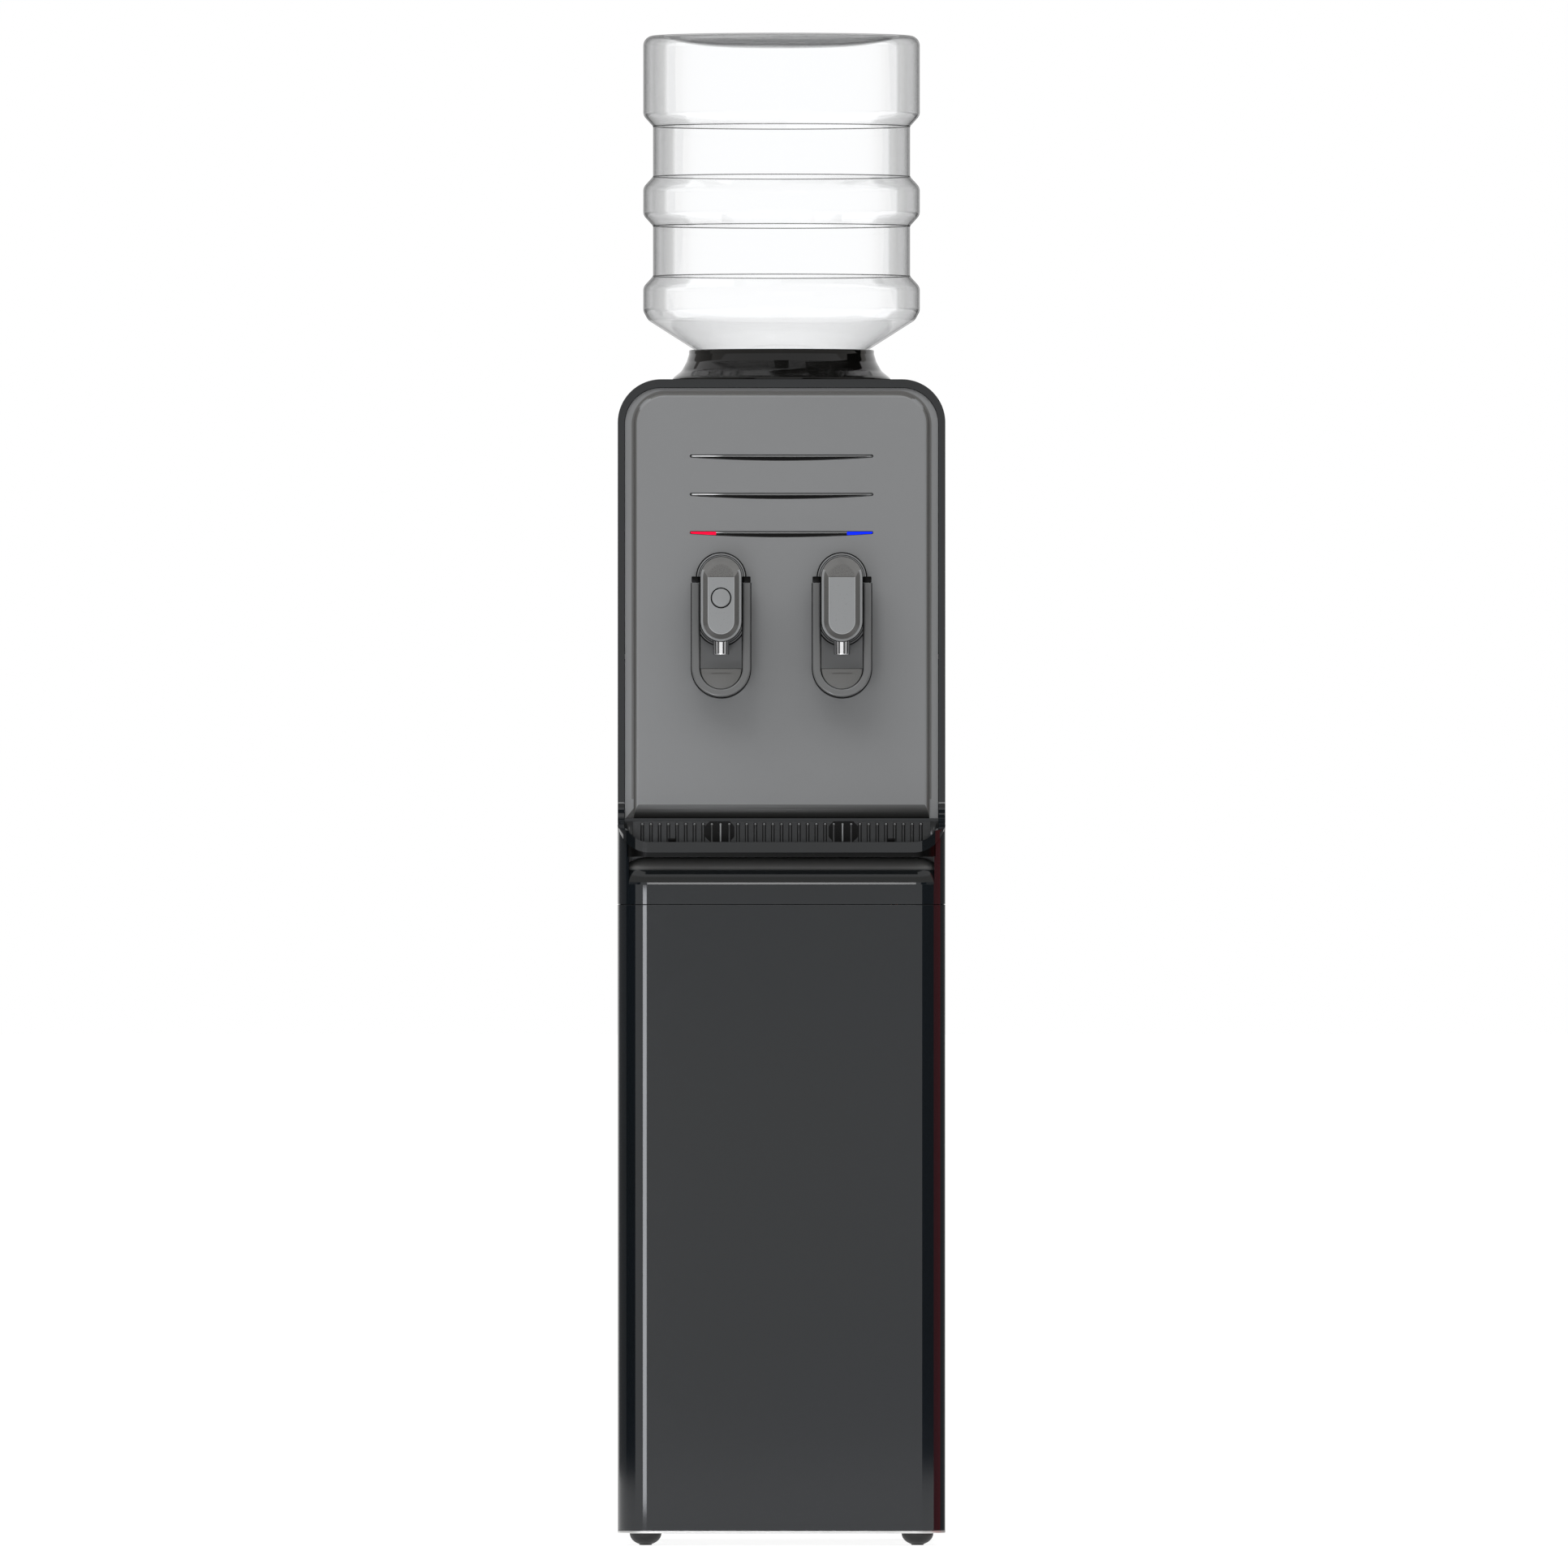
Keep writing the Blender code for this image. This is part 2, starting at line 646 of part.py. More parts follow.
def make_waist():
    top = LIP_BOTTOM + FRAME_LOW_RADIUS
    waist = plate("waist_shell", [body_plan(0, BEZEL_BACK - GAP)], UPPER_BOTTOM, top, PLAN, GLOSS_BLACK)
    shoulder = (BODY_FRONT + SHOULDER_RADIUS, SHOULDER_HEIGHT - SHOULDER_RADIUS)
    deck_back = BODY_FRONT + DECK_DEPTH
    profile = [(BODY_FRONT - OVERRUN, UPPER_BOTTOM - OVERRUN), (BODY_FRONT - OVERRUN, shoulder[1])]
    profile += arc(shoulder, SHOULDER_RADIUS, 180, 90)
    profile += [(deck_back, SHOULDER_HEIGHT), (deck_back + CHEEK_RUN, top + OVERRUN),
                (BEZEL_BACK + OVERRUN, top + OVERRUN), (BEZEL_BACK + OVERRUN, UPPER_BOTTOM - OVERRUN)]
    far = HALF_WIDTH + OVERRUN
    combine(waist, plate("trim_waist_side", [profile], -far, far, SIDE, None), "INTERSECT")

    wall_front = panel_front()
    combine(waist, plate("cut_frame_seat", [frame_outline(GAP)], LIP_FRONT - OVERRUN, wall_front,
                         FRONT, None))
    arm_inner = HALF_WIDTH - FRAME_SIDE - GAP
    for side in (-1, 1):
        inner, outer = sorted((side * arm_inner, side * (HALF_WIDTH + OVERRUN)))
        combine(waist, block(f"cut_arm_seat_{side + 1}", (inner, wall_front - OVERRUN, LIP_TOP),
                             (outer, BEZEL_BACK + OVERRUN, top + OVERRUN), None))
    combine(waist, plate("cut_waist_window", [window_plan(0, wall_front)], SHOULDER_HEIGHT,
                         top + OVERRUN, PLAN, None))
    pocket_half = HALF_WIDTH - FRAME_SIDE - TRAY_WELL_INSET + TRAY_CLEARANCE
    pocket_front = LIP_FRONT + TRAY_WELL_FRONT - TRAY_CLEARANCE
    pocket_floor = TRAY_WELL_BOTTOM - TRAY_CLEARANCE
    combine(waist, block("cut_tray_well", (-pocket_half, pocket_front, pocket_floor),
                         (pocket_half, wall_front, top + OVERRUN), None))
    hollow = rounded(-HALF_WIDTH + MOULDING, HALF_WIDTH - MOULDING, BODY_FRONT + MOULDING,
                     BEZEL_BACK - GAP - MOULDING, CORNER_RADIUS - MOULDING, 0)
    combine(waist, plate("cut_waist_hollow", [hollow], UPPER_BOTTOM - OVERRUN,
                         pocket_floor - WAIST_FLOOR, PLAN, None))


def make_frame():
    inner_half = HALF_WIDTH - FRAME_SIDE
    inner = rounded(-inner_half, inner_half, LIP_TOP, BODY_TOP - FRAME_TOP, FRAME_LOW_INNER_RADIUS,
                    TOP_RADIUS - FRAME_SIDE)
    frame = plate("front_bezel", [frame_outline(), inner[::-1]], LIP_FRONT, BEZEL_BACK, FRONT,
                  GLOSS_BLACK)
    plan = rounded(-HALF_WIDTH - OVERRUN, HALF_WIDTH + OVERRUN, LIP_FRONT, BEZEL_BACK + OVERRUN, 0, 0)
    front_corner = arc((CORNER_RADIUS - HALF_WIDTH, LIP_FRONT + CORNER_RADIUS), CORNER_RADIUS, 180, 270)
    far_corner = arc((HALF_WIDTH - CORNER_RADIUS, LIP_FRONT + CORNER_RADIUS), CORNER_RADIUS, 270, 360)
    plan = front_corner + far_corner + [(HALF_WIDTH, BEZEL_BACK + OVERRUN),
                                        (-HALF_WIDTH, BEZEL_BACK + OVERRUN)]
    combine(frame, plate("trim_frame_plan", [plan], LIP_BOTTOM - OVERRUN, BODY_TOP + OVERRUN, PLAN,
                         None), "INTERSECT")
    nose = (LIP_FRONT + LIP_NOSE, LIP_TOP)
    slope_end = (BEZEL_FRONT - ARM_FILLET, LIP_BOTTOM + ARM_TOP + ARM_FILLET)
    profile = [(BEZEL_BACK + OVERRUN, LIP_BOTTOM - OVERRUN), (LIP_FRONT - OVERRUN, LIP_BOTTOM - OVERRUN),
               (LIP_FRONT - OVERRUN, LIP_TOP)]
    profile += arc(nose, LIP_NOSE, 180, 110)
    profile += arc(slope_end, ARM_FILLET, -75, 0)
    profile += [(BEZEL_FRONT, BODY_TOP + OVERRUN), (BEZEL_BACK + OVERRUN, BODY_TOP + OVERRUN)]
    far = HALF_WIDTH + OVERRUN
    combine(frame, plate("trim_frame_side", [profile], -far, far, SIDE, None), "INTERSECT")
    combine(frame, plate("cut_tray_window", [window_plan(0, BEZEL_BACK + OVERRUN)],
                         LIP_BOTTOM - OVERRUN, LIP_TOP + FRAME_LOW_INNER_RADIUS, PLAN, None))


def make_upper_cabinet():
    arch_low = BODY_TOP - TOP_RADIUS
    arch = channel(HALF_WIDTH, arch_low, BODY_TOP, TOP_RADIUS, MOULDING)
    cover = plate("top_cover", [arch], BEZEL_BACK + GAP, SIDE_BACK, FRONT, GLOSS_BLACK)
    combine(cover, rod("cut_collar_hole", COLLAR_TUBE + GAP, BODY_TOP - TOP_RADIUS,
                       BODY_TOP + OVERRUN, None, at=(0, BOTTLE_Y, 0), steps=ROUND_STEPS))
    for name, side in (("upper_side_left", -1), ("upper_side_right", 1)):
        inner, outer = sorted((side * HALF_WIDTH, side * (HALF_WIDTH - SHEET)))
        block(name, (inner, BEZEL_BACK + GAP, UPPER_BOTTOM), (outer, SIDE_BACK, arch_low - GAP),
              BODY_BLACK)
    outline = rounded(-HALF_WIDTH, HALF_WIDTH, UPPER_BOTTOM, BODY_TOP, 0, TOP_RADIUS)
    holes = [circle((HOT_TANK_X, DRAIN_HEIGHT), HOSE_RADIUS + DRAIN_HOLE_CLEARANCE)[::-1]]
    plate("upper_rear_panel", [outline] + holes, BODY_BACK - SHEET, BODY_BACK, FRONT, BODY_BLACK)


def smile(start, end, height, grow=0):
    """A slot with a straight top and a sagging lower edge, between two places along its length."""
    half = GROOVE_LENGTH / 2
    steps = 2 * CORNER_STEPS
    low = []
    for step in range(steps + 1):
        x = start + (end - start) * step / steps
        sag = GROOVE_SAG * (1 - (x / half) ** 2)
        low.append((x, height - GROOVE_END - sag - grow))
    left_round = [(start - grow - GROOVE_END / 2, height - GROOVE_END / 2)] if start == -half else []
    right_round = [(end + grow + GROOVE_END / 2, height - GROOVE_END / 2)] if end == half else []
    return low + right_round + [(end, height + grow), (start, height + grow)] + left_round


def panel_front():
    """Where the raised middle of the tap panel has its front face."""
    return BEZEL_FRONT + PANEL_STRIP_SET_BACK - PILLOW_RISE


def round_front_rim(piece, width, segments):
    """Round the rim of the face that looks to the front, which has one flat face."""
    work = bmesh.new()
    work.from_mesh(piece.data)
    bmesh.ops.dissolve_limit(work, angle_limit=math.radians(0.5), verts=work.verts, edges=work.edges)
    front = min(vertex.co.y for vertex in work.verts)
    rim = [edge for edge in work.edges if all(abs(vertex.co.y - front) < WELD for vertex in edge.verts)]
    bmesh.ops.bevel(work, geom=rim, offset=width, segments=segments, profile=0.5, affect="EDGES",
                    clamp_overlap=False)
    bmesh.ops.recalc_face_normals(work, faces=work.faces)
    work.to_mesh(piece.data)
    work.free()
    return shade(piece)


def make_panel():
    half = HALF_WIDTH - FRAME_SIDE - PANEL_GAP
    top = BODY_TOP - FRAME_TOP - PANEL_GAP
    strip_front = BEZEL_FRONT + PANEL_STRIP_SET_BACK
    strip_back = strip_front + PANEL_STRIP
    front = panel_front()
    strip = rounded(-half, half, PANEL_BOTTOM, top, 0, TOP_RADIUS - FRAME_SIDE - PANEL_GAP)
    panel = plate("tap_panel", [strip], strip_front, strip_back, FRONT, GREY)
    pillow_half = half - PILLOW_INSET_X
    pillow_top = top - PILLOW_INSET_TOP
    pillow = rounded(-pillow_half, pillow_half, PANEL_BOTTOM - PILLOW_ROUND, pillow_top, 0,
                     TOP_RADIUS - FRAME_SIDE - PILLOW_INSET_TOP)
    raised = plate("join_panel_pillow", [pillow], front, strip_back - OVERRUN / 4, FRONT, None)
    combine(panel, round_front_rim(raised, PILLOW_ROUND, 3), "UNION")

    roll_top = PANEL_BOTTOM + ROLL_HEIGHT
    roll = [(strip_back + OVERRUN, PANEL_BOTTOM)]
    roll += arc((front + ROLL_DEPTH, roll_top), ROLL_DEPTH + GAP, 270, 180,
                squeeze=ROLL_HEIGHT / (ROLL_DEPTH + GAP))
    roll += [(front - OVERRUN, roll_top + OVERRUN), (front - OVERRUN, top + OVERRUN),
             (strip_back + OVERRUN, top + OVERRUN)]
    combine(panel, plate("trim_panel_roll", [roll], -HALF_WIDTH, HALF_WIDTH, SIDE, None), "INTERSECT")
    combine(panel, block("cut_panel_back",
                         (PANEL_BACK_RIM - pillow_half, front + PANEL_WALL, roll_top),
                         (pillow_half - PANEL_BACK_RIM, strip_back + OVERRUN, pillow_top - PANEL_BACK_RIM),
                         None))
    for index, height in enumerate(GROOVE_HEIGHTS):
        groove = smile(-GROOVE_LENGTH / 2, GROOVE_LENGTH / 2, height)
        combine(panel, plate(f"cut_groove_{index}", [groove], front - OVERRUN, front + GROOVE_DEPTH,
                             FRONT, None))
    for side in (-1, 1):
        combine(panel, rod(f"cut_shank_hole_{side + 1}", SHANK_RADIUS + GAP, -OVERRUN, OVERRUN, None,
                           at=(side * TAP_SPACING / 2, front + PANEL_WALL / 2, SHANK_HEIGHT),
                           turn=(math.radians(90), 0, 0)))

    lights = {"hot_light": (-GROOVE_LENGTH / 2, LIGHT_LENGTH - GROOVE_LENGTH / 2, RED),
              "cold_light": (GROOVE_LENGTH / 2 - LIGHT_LENGTH, GROOVE_LENGTH / 2, BLUE)}
    back = front + GROOVE_DEPTH - GAP
    for name, (start, end, finish) in lights.items():
        plate(name, [smile(start, end, GROOVE_HEIGHTS[-1] - LIGHT_CLEARANCE / 2, -LIGHT_CLEARANCE)],
              back - LIGHT_THICKNESS, back, FRONT, finish)


def make_tap(prefix, x, with_button):
    panel = panel_front()
    plate_back = panel - GAP
    plate_front = plate_back - ESCUTCHEON_THICKNESS
    body_back = plate_front - GAP
    body_front = body_back - TAP_BODY_DEPTH
    head_back = body_front - GAP
    head_front = head_back - HEAD_DEPTH
    quarter = (math.radians(90), 0, 0)

    shape = capsule(ESCUTCHEON_RADIUS, TAP_LOW, TAP_HIGH, x)
    hole = circle((x, SHANK_HEIGHT), SHANK_RADIUS + GAP)[::-1]
    plate(prefix + "_escutcheon", [shape, hole], plate_front, plate_back, FRONT, GREY)

    body = plate(prefix + "_tap_body", [capsule(TAP_BODY_RADIUS, TAP_LOW, TAP_HIGH, x)], body_front,
                 body_back, FRONT, MATT_BLACK)
    shank = rod("join_" + prefix + "_shank", SHANK_RADIUS, -SHANK_LENGTH, TAP_BODY_DEPTH / 4, None,
                at=(x, body_back, SHANK_HEIGHT), turn=quarter)
    combine(body, shank, "UNION")
    pivot_y = plate_front - PIVOT_FORWARD
    combine(body, rod("cut_" + prefix + "_pivot", PIVOT_RADIUS + PIVOT_CLEARANCE, -HEAD_RADIUS,
                      HEAD_RADIUS, None, at=(x, pivot_y, PIVOT_HEIGHT), turn=(0, math.radians(90), 0)))
    nozzle_y = body_front + TAP_BODY_DEPTH - NOZZLE_SET + NOZZLE_RADIUS
    combine(body, rod("cut_" + prefix + "_nozzle", NOZZLE_RADIUS + GAP, NOZZLE_BOTTOM,
                      NOZZLE_TOP + GAP, None, at=(x, nozzle_y, 0)))
    combine(body, rod("cut_" + prefix + "_chamber", CHAMBER_RADIUS, NOZZLE_TOP, CHAMBER_TOP, None,
                      at=(x, nozzle_y, 0)))
    combine(body, rod("cut_" + prefix + "_waterway", WATERWAY_RADIUS, -SHANK_LENGTH - OVERRUN,
                      body_back - nozzle_y, None, at=(x, body_back, SHANK_HEIGHT), turn=quarter))

    hexagon = arc((x, SHANK_HEIGHT), NUT_RADIUS, 0, 360, 6)[:-1]
    nut_front = panel + PANEL_WALL + GAP
    plate(prefix + "_tap_nut", [hexagon, hole], nut_front, nut_front + NUT_THICKNESS, FRONT, STEEL)

    rim_front = head_front + HEAD_CHAMFER + GAP
    head = plate(prefix + "_tap_head", [capsule(HEAD_RADIUS, TAP_LOW, TAP_HIGH, x)], rim_front,
                 head_back, FRONT, LIGHT_GREY)
    plateau = plate("join_" + prefix + "_plateau",
                    [capsule(HEAD_RADIUS - HEAD_RIM, TAP_LOW, TAP_HIGH, x)], head_front,
                    rim_front + HEAD_RIM, FRONT, None)
    combine(head, round_front_rim(plateau, HEAD_CHAMFER, 1), "UNION")
    over = OVERRUN
    slope = [(head_front - over, TAP_HIGH), (head_front, TAP_HIGH),
             (head_front + HEAD_SLOPE_RUN, TAP_HIGH + HEAD_RADIUS),
             (head_front + HEAD_SLOPE_RUN, TAP_HIGH + HEAD_RADIUS + over),
             (head_front - over, TAP_HIGH + HEAD_RADIUS + over)]
    combine(head, plate("cut_" + prefix + "_slope", [slope], x - HEAD_RADIUS - over,
                        x + HEAD_RADIUS + over, SIDE, None))
    if with_button:
        button_back = head_front - BUTTON_PROUD + BUTTON_LENGTH
        combine(head, rod("cut_button_hole", BUTTON_RADIUS + BUTTON_CLEARANCE,
                          head_front - button_back - BUTTON_TRAVEL - BUTTON_CLEARANCE, OVERRUN, None,
                          at=(x, head_front, BUTTON_HEIGHT), turn=quarter, steps=ROUND_STEPS))
        rod("hot_safety_button", BUTTON_RADIUS, BUTTON_PROUD - BUTTON_LENGTH, BUTTON_PROUD, LIGHT_GREY,
            at=(x, head_front, BUTTON_HEIGHT), turn=quarter, steps=ROUND_STEPS)

    ring(prefix + "_nozzle", NOZZLE_RADIUS, NOZZLE_BORE, NOZZLE_BOTTOM, NOZZLE_TOP, CHROME,
         at=(x, nozzle_y, 0))
    stem_low = NOZZLE_TOP + STEM_SEAT_GAP
    rod(prefix + "_valve_stem", STEM_RADIUS, 0, STEM_LENGTH, STEEL, at=(x, nozzle_y, stem_low))
    rod(prefix + "_pivot_pin", PIVOT_RADIUS, -LEVER_HALF_WIDTH + GAP, LEVER_HALF_WIDTH - GAP,
        MATT_BLACK, at=(x, pivot_y, PIVOT_HEIGHT), turn=(0, math.radians(90), 0))
    make_lever(prefix, (x, pivot_y, PIVOT_HEIGHT))


def make_lever(prefix, pivot):
    inner = LEVER_HALF_WIDTH - LEVER_BAND
    top = -PIVOT_RADIUS - PIVOT_CLEARANCE
    centre = (0, -LEVER_REACH)
    steps = 2 * CORNER_STEPS
    band = [(-LEVER_HALF_WIDTH, top)] + arc(centre, LEVER_HALF_WIDTH, 180, 360, steps)
    band += [(LEVER_HALF_WIDTH, top), (inner, top)]
    band += arc(centre, inner, 360, 180, steps) + [(-inner, top)]
    lever = plate(prefix + "_lever", [band], -LEVER_THICKNESS / 2, LEVER_THICKNESS / 2, FRONT, GREY,
                  origin=pivot)
    half_moon = arc(centre, inner + LEVER_BAND / 4, 180, 360, steps)
    paddle = plate("join_" + prefix + "_paddle", [half_moon], -PADDLE_THICKNESS / 2,
                   PADDLE_THICKNESS / 2, FRONT, None, origin=pivot)
    mark_top = -LEVER_REACH - PADDLE_MARK_DROP
    mark = block("cut_" + prefix + "_mark",
                 (-PADDLE_MARK_LENGTH / 2, -PADDLE_THICKNESS / 2 - OVERRUN, mark_top - PADDLE_MARK_HEIGHT),
                 (PADDLE_MARK_LENGTH / 2, PADDLE_MARK_DEPTH - PADDLE_THICKNESS / 2, mark_top), None)
    mark.location = [mark.location[axis] + pivot[axis] for axis in range(3)]
    holder = bpy.data.objects.new(prefix + "_lever_axis", None)
    parts.objects.link(holder)
    holder.location = pivot
    for piece in (lever, paddle, mark):
        piece.location = [piece.location[axis] - pivot[axis] for axis in range(3)]
        piece.parent = holder
    holder.rotation_euler = (-math.radians(LEVER_TILT), 0, 0)
    combine(lever, paddle, "UNION")
    combine(lever, mark)


def make_collar():
    top = BODY_TOP + COLLAR_RISE
    seat = BODY_TOP + GAP
    chamfer = (COLLAR_RIM - COLLAR_MOUTH) / 4
    flare_shares = ((0.10, 0.78), (0.29, 0.55), (0.55, 0.34), (0.86, 0.17))
    spread = COLLAR_BASE - COLLAR_RIM
    profile = [(COLLAR_RIM - chamfer, top), (COLLAR_RIM, top - chamfer), (COLLAR_RIM, top - 5 * chamfer)]
    profile += [(COLLAR_RIM + spread * out, seat + COLLAR_RISE * up) for out, up in flare_shares]
    profile += [(COLLAR_BASE, seat + 2 * chamfer), (COLLAR_BASE, seat), (COLLAR_TUBE, seat)]
    tube_bottom = top - COLLAR_RISE - COLLAR_DROP
    bore = COLLAR_TUBE - COLLAR_WALL
    funnel_bottom = top - FUNNEL_SLOPE * (COLLAR_MOUTH - bore)
    profile += [(COLLAR_TUBE, tube_bottom), (bore, tube_bottom), (bore, funnel_bottom),
                (COLLAR_MOUTH, top)]
    turned("bottle_collar", profile, GLOSS_BLACK, at=(0, BOTTLE_Y, 0))

    disc_top = tube_bottom - GAP
    disc_bottom = disc_top - PROBE_DISC
    tip = disc_top + PROBE_HEIGHT
    probe_profile = [(PROBE_BORE, tip), (PROBE_RADIUS, tip - PROBE_TIP), (PROBE_RADIUS, disc_top),
                     (COLLAR_TUBE, disc_top), (COLLAR_TUBE, disc_bottom), (PROBE_BORE, disc_bottom)]
    probe = turned("bottle_probe", probe_profile, MATT_BLACK, at=(0, BOTTLE_Y, 0))
    for index in range(PROBE_PORTS):
        angle = 2 * math.pi * index / PROBE_PORTS
        place = (PROBE_PORT_CIRCLE * math.cos(angle), BOTTLE_Y + PROBE_PORT_CIRCLE * math.sin(angle), 0)
        combine(probe, rod(f"cut_probe_port_{index}", PROBE_PORT_RADIUS, disc_bottom - OVERRUN,
                           disc_top + OVERRUN, None, at=place, steps=SMALL_STEPS // 2))


def offset_profile(points, distance):
    """A profile moved to its left-hand side, for the inside of a shell."""
    moved = []
    for index, point in enumerate(points):
        before = points[max(index - 1, 0)]
        after = points[min(index + 1, len(points) - 1)]
        normals = []
        for start, end in ((before, point), (point, after)):
            length = math.hypot(end[0] - start[0], end[1] - start[1])
            if length > 0:
                normals.append(((end[1] - start[1]) / length, -(end[0] - start[0]) / length))
        total = [sum(normal[axis] for normal in normals) for axis in range(2)]
        size = math.hypot(*total)
        lean = normals[0][0] * total[0] / size + normals[0][1] * total[1] / size
        moved.append((point[0] + total[0] / size * distance / lean,
                      point[1] + total[1] / size * distance / lean))
    return moved


def bottle_outer():
    """The bottle's outer profile from its dished base, which is uppermost, down to its mouth.

    Heights are measured from the collar's top edge.
    """
    def seat_height(radius):
        return BOTTLE_SEAT_LIFT + BOTTLE_SLOPE * (radius - BOTTLE_SEAT_RADIUS)

    shoulder = seat_height(BOTTLE_SHOULDER_RADIUS)
    height = shoulder + SHOULDER_ROUND
    sides = [(BOTTLE_RADIUS, height)]
    for band in (LOW_BAND, MIDDLE_BAND):
        height += band
        sides.append((BOTTLE_RADIUS, height))
        height += BAND_CHAMFER
        sides.append((BOTTLE_WAIST, height))
        height += WAIST_BAND
        sides.append((BOTTLE_WAIST, height))
        height += BAND_CHAMFER
        sides.append((BOTTLE_RADIUS, height))
    height += HIGH_BAND
    base = arc((BOTTLE_RADIUS - BASE_ROUND, height), BASE_ROUND, 90, 0, CORNER_STEPS)
    top = height + BASE_ROUND
    dish = [(0, top - BASE_DISH), (BASE_DISH_RADIUS, top - BASE_DISH * DISH_EDGE_SHARE)]
    neck_top = seat_height(NECK_RADIUS + NECK_ROUND)
    neck = [(BOTTLE_SHOULDER_RADIUS, shoulder), (NECK_RADIUS + NECK_ROUND, neck_top),
            (NECK_RADIUS, neck_top - NECK_ROUND), (NECK_RADIUS, neck_top - NECK_LENGTH)]
    return dish + base + sides[::-1] + neck


def make_bottle():
    at = (0, BOTTLE_Y, BODY_TOP + COLLAR_RISE)
    outer = bottle_outer()
    inner = offset_profile(outer, BOTTLE_WALL)
    inner[0] = (0, outer[0][1] - BOTTLE_WALL)
    inner[-1] = (NECK_RADIUS - BOTTLE_WALL, outer[-1][1])
    turned("bottle", outer + inner[::-1], CLEAR, at=at, closed=False)

    mouth = outer[-1][1]
    skirt = NECK_RADIUS + CAP_CLEARANCE
    disc_top = mouth - GAP
    profile = [(skirt + CAP_WALL, mouth + CAP_SKIRT), (skirt + CAP_WALL, disc_top - CAP_WALL),
               (CAP_HOLE, disc_top - CAP_WALL), (CAP_HOLE, disc_top), (skirt, disc_top),
               (skirt, mouth + CAP_SKIRT)]
    turned("bottle_cap", profile, CAP_BLUE, at=at)


def make_tray():
    bottom = SHOULDER_HEIGHT + 2 * GAP
    back = panel_front() - TRAY_CLEARANCE
    tray = plate("drip_tray", [window_plan(TRAY_CLEARANCE, back)], bottom, TRAY_TOP, PLAN, MATT_BLACK)
    well_half = HALF_WIDTH - FRAME_SIDE - TRAY_WELL_INSET
    well_front = LIP_FRONT + TRAY_WELL_FRONT
    combine(tray, block("join_tray_well", (-well_half, well_front, TRAY_WELL_BOTTOM),
                        (well_half, back, bottom + TRAY_FLOOR / 2), None), "UNION")
    inner = window_plan(TRAY_CLEARANCE + TRAY_WALL, back - TRAY_WALL)
    combine(tray, plate("cut_tray_top", [inner], bottom + TRAY_FLOOR, TRAY_TOP + OVERRUN, PLAN, None))
    combine(tray, block("cut_tray_inside",
                        (TRAY_WALL - well_half, well_front + TRAY_WALL, TRAY_WELL_BOTTOM + TRAY_FLOOR),
                        (well_half - TRAY_WALL, back - TRAY_WALL, TRAY_TOP + OVERRUN), None))

    make_grille(back - BACKSPLASH_CLEARANCE)


def make_grille(grille_back):
    """The slatted cover: a level deck with slots and a ribbed upstand along its back."""
    back = grille_back + OVERRUN
    deck_bottom = TRAY_TOP + GAP
    deck_front = LIP_FRONT + LIP_WALL + TRAY_CLEARANCE
    wall_front = grille_back - BACKSPLASH
    half = HALF_WIDTH - FRAME_SIDE - TRAY_CLEARANCE
    section = [(deck_front, deck_bottom), (grille_back, deck_bottom), (grille_back, BACKSPLASH_TOP),
               (wall_front, BACKSPLASH_TOP), (wall_front, LIP_TOP), (deck_front, LIP_TOP)]
    grille = plate("drip_grille", [section], -half, half, SIDE, MATT_BLACK)

    fins = []
    for index in range(FIN_COUNT):
        x = (index - (FIN_COUNT - 1) / 2) * FIN_PITCH
        fins.append(rounded(x - FIN_WIDTH / 2, x + FIN_WIDTH / 2, wall_front - FIN_RISE,
                            wall_front + BACKSPLASH / 2, 0, 0))
    combine(grille, plate("join_fins", fins, (deck_bottom + LIP_TOP) / 2,
                          BACKSPLASH_TOP - FIN_TOP_DROP, PLAN, None), "UNION")
    slots = []
    slot_half = (FIN_PITCH - FIN_WIDTH) / 2
    for index in range(FIN_COUNT - 1):
        x = (index + 1 - FIN_COUNT / 2) * FIN_PITCH
        slots.append(rounded(x - slot_half, x + slot_half, deck_front + SLOT_FRONT,
                             grille_back - SLOT_BACK, 0, 0))
    combine(grille, plate("cut_grille_slots", slots, deck_bottom - OVERRUN, LIP_TOP + OVERRUN, PLAN,
                          None))
    combine(grille, plate("trim_grille_plan", [window_plan(TRAY_CLEARANCE, back)], deck_bottom - OVERRUN,
                          BACKSPLASH_TOP + OVERRUN, PLAN, None), "INTERSECT")


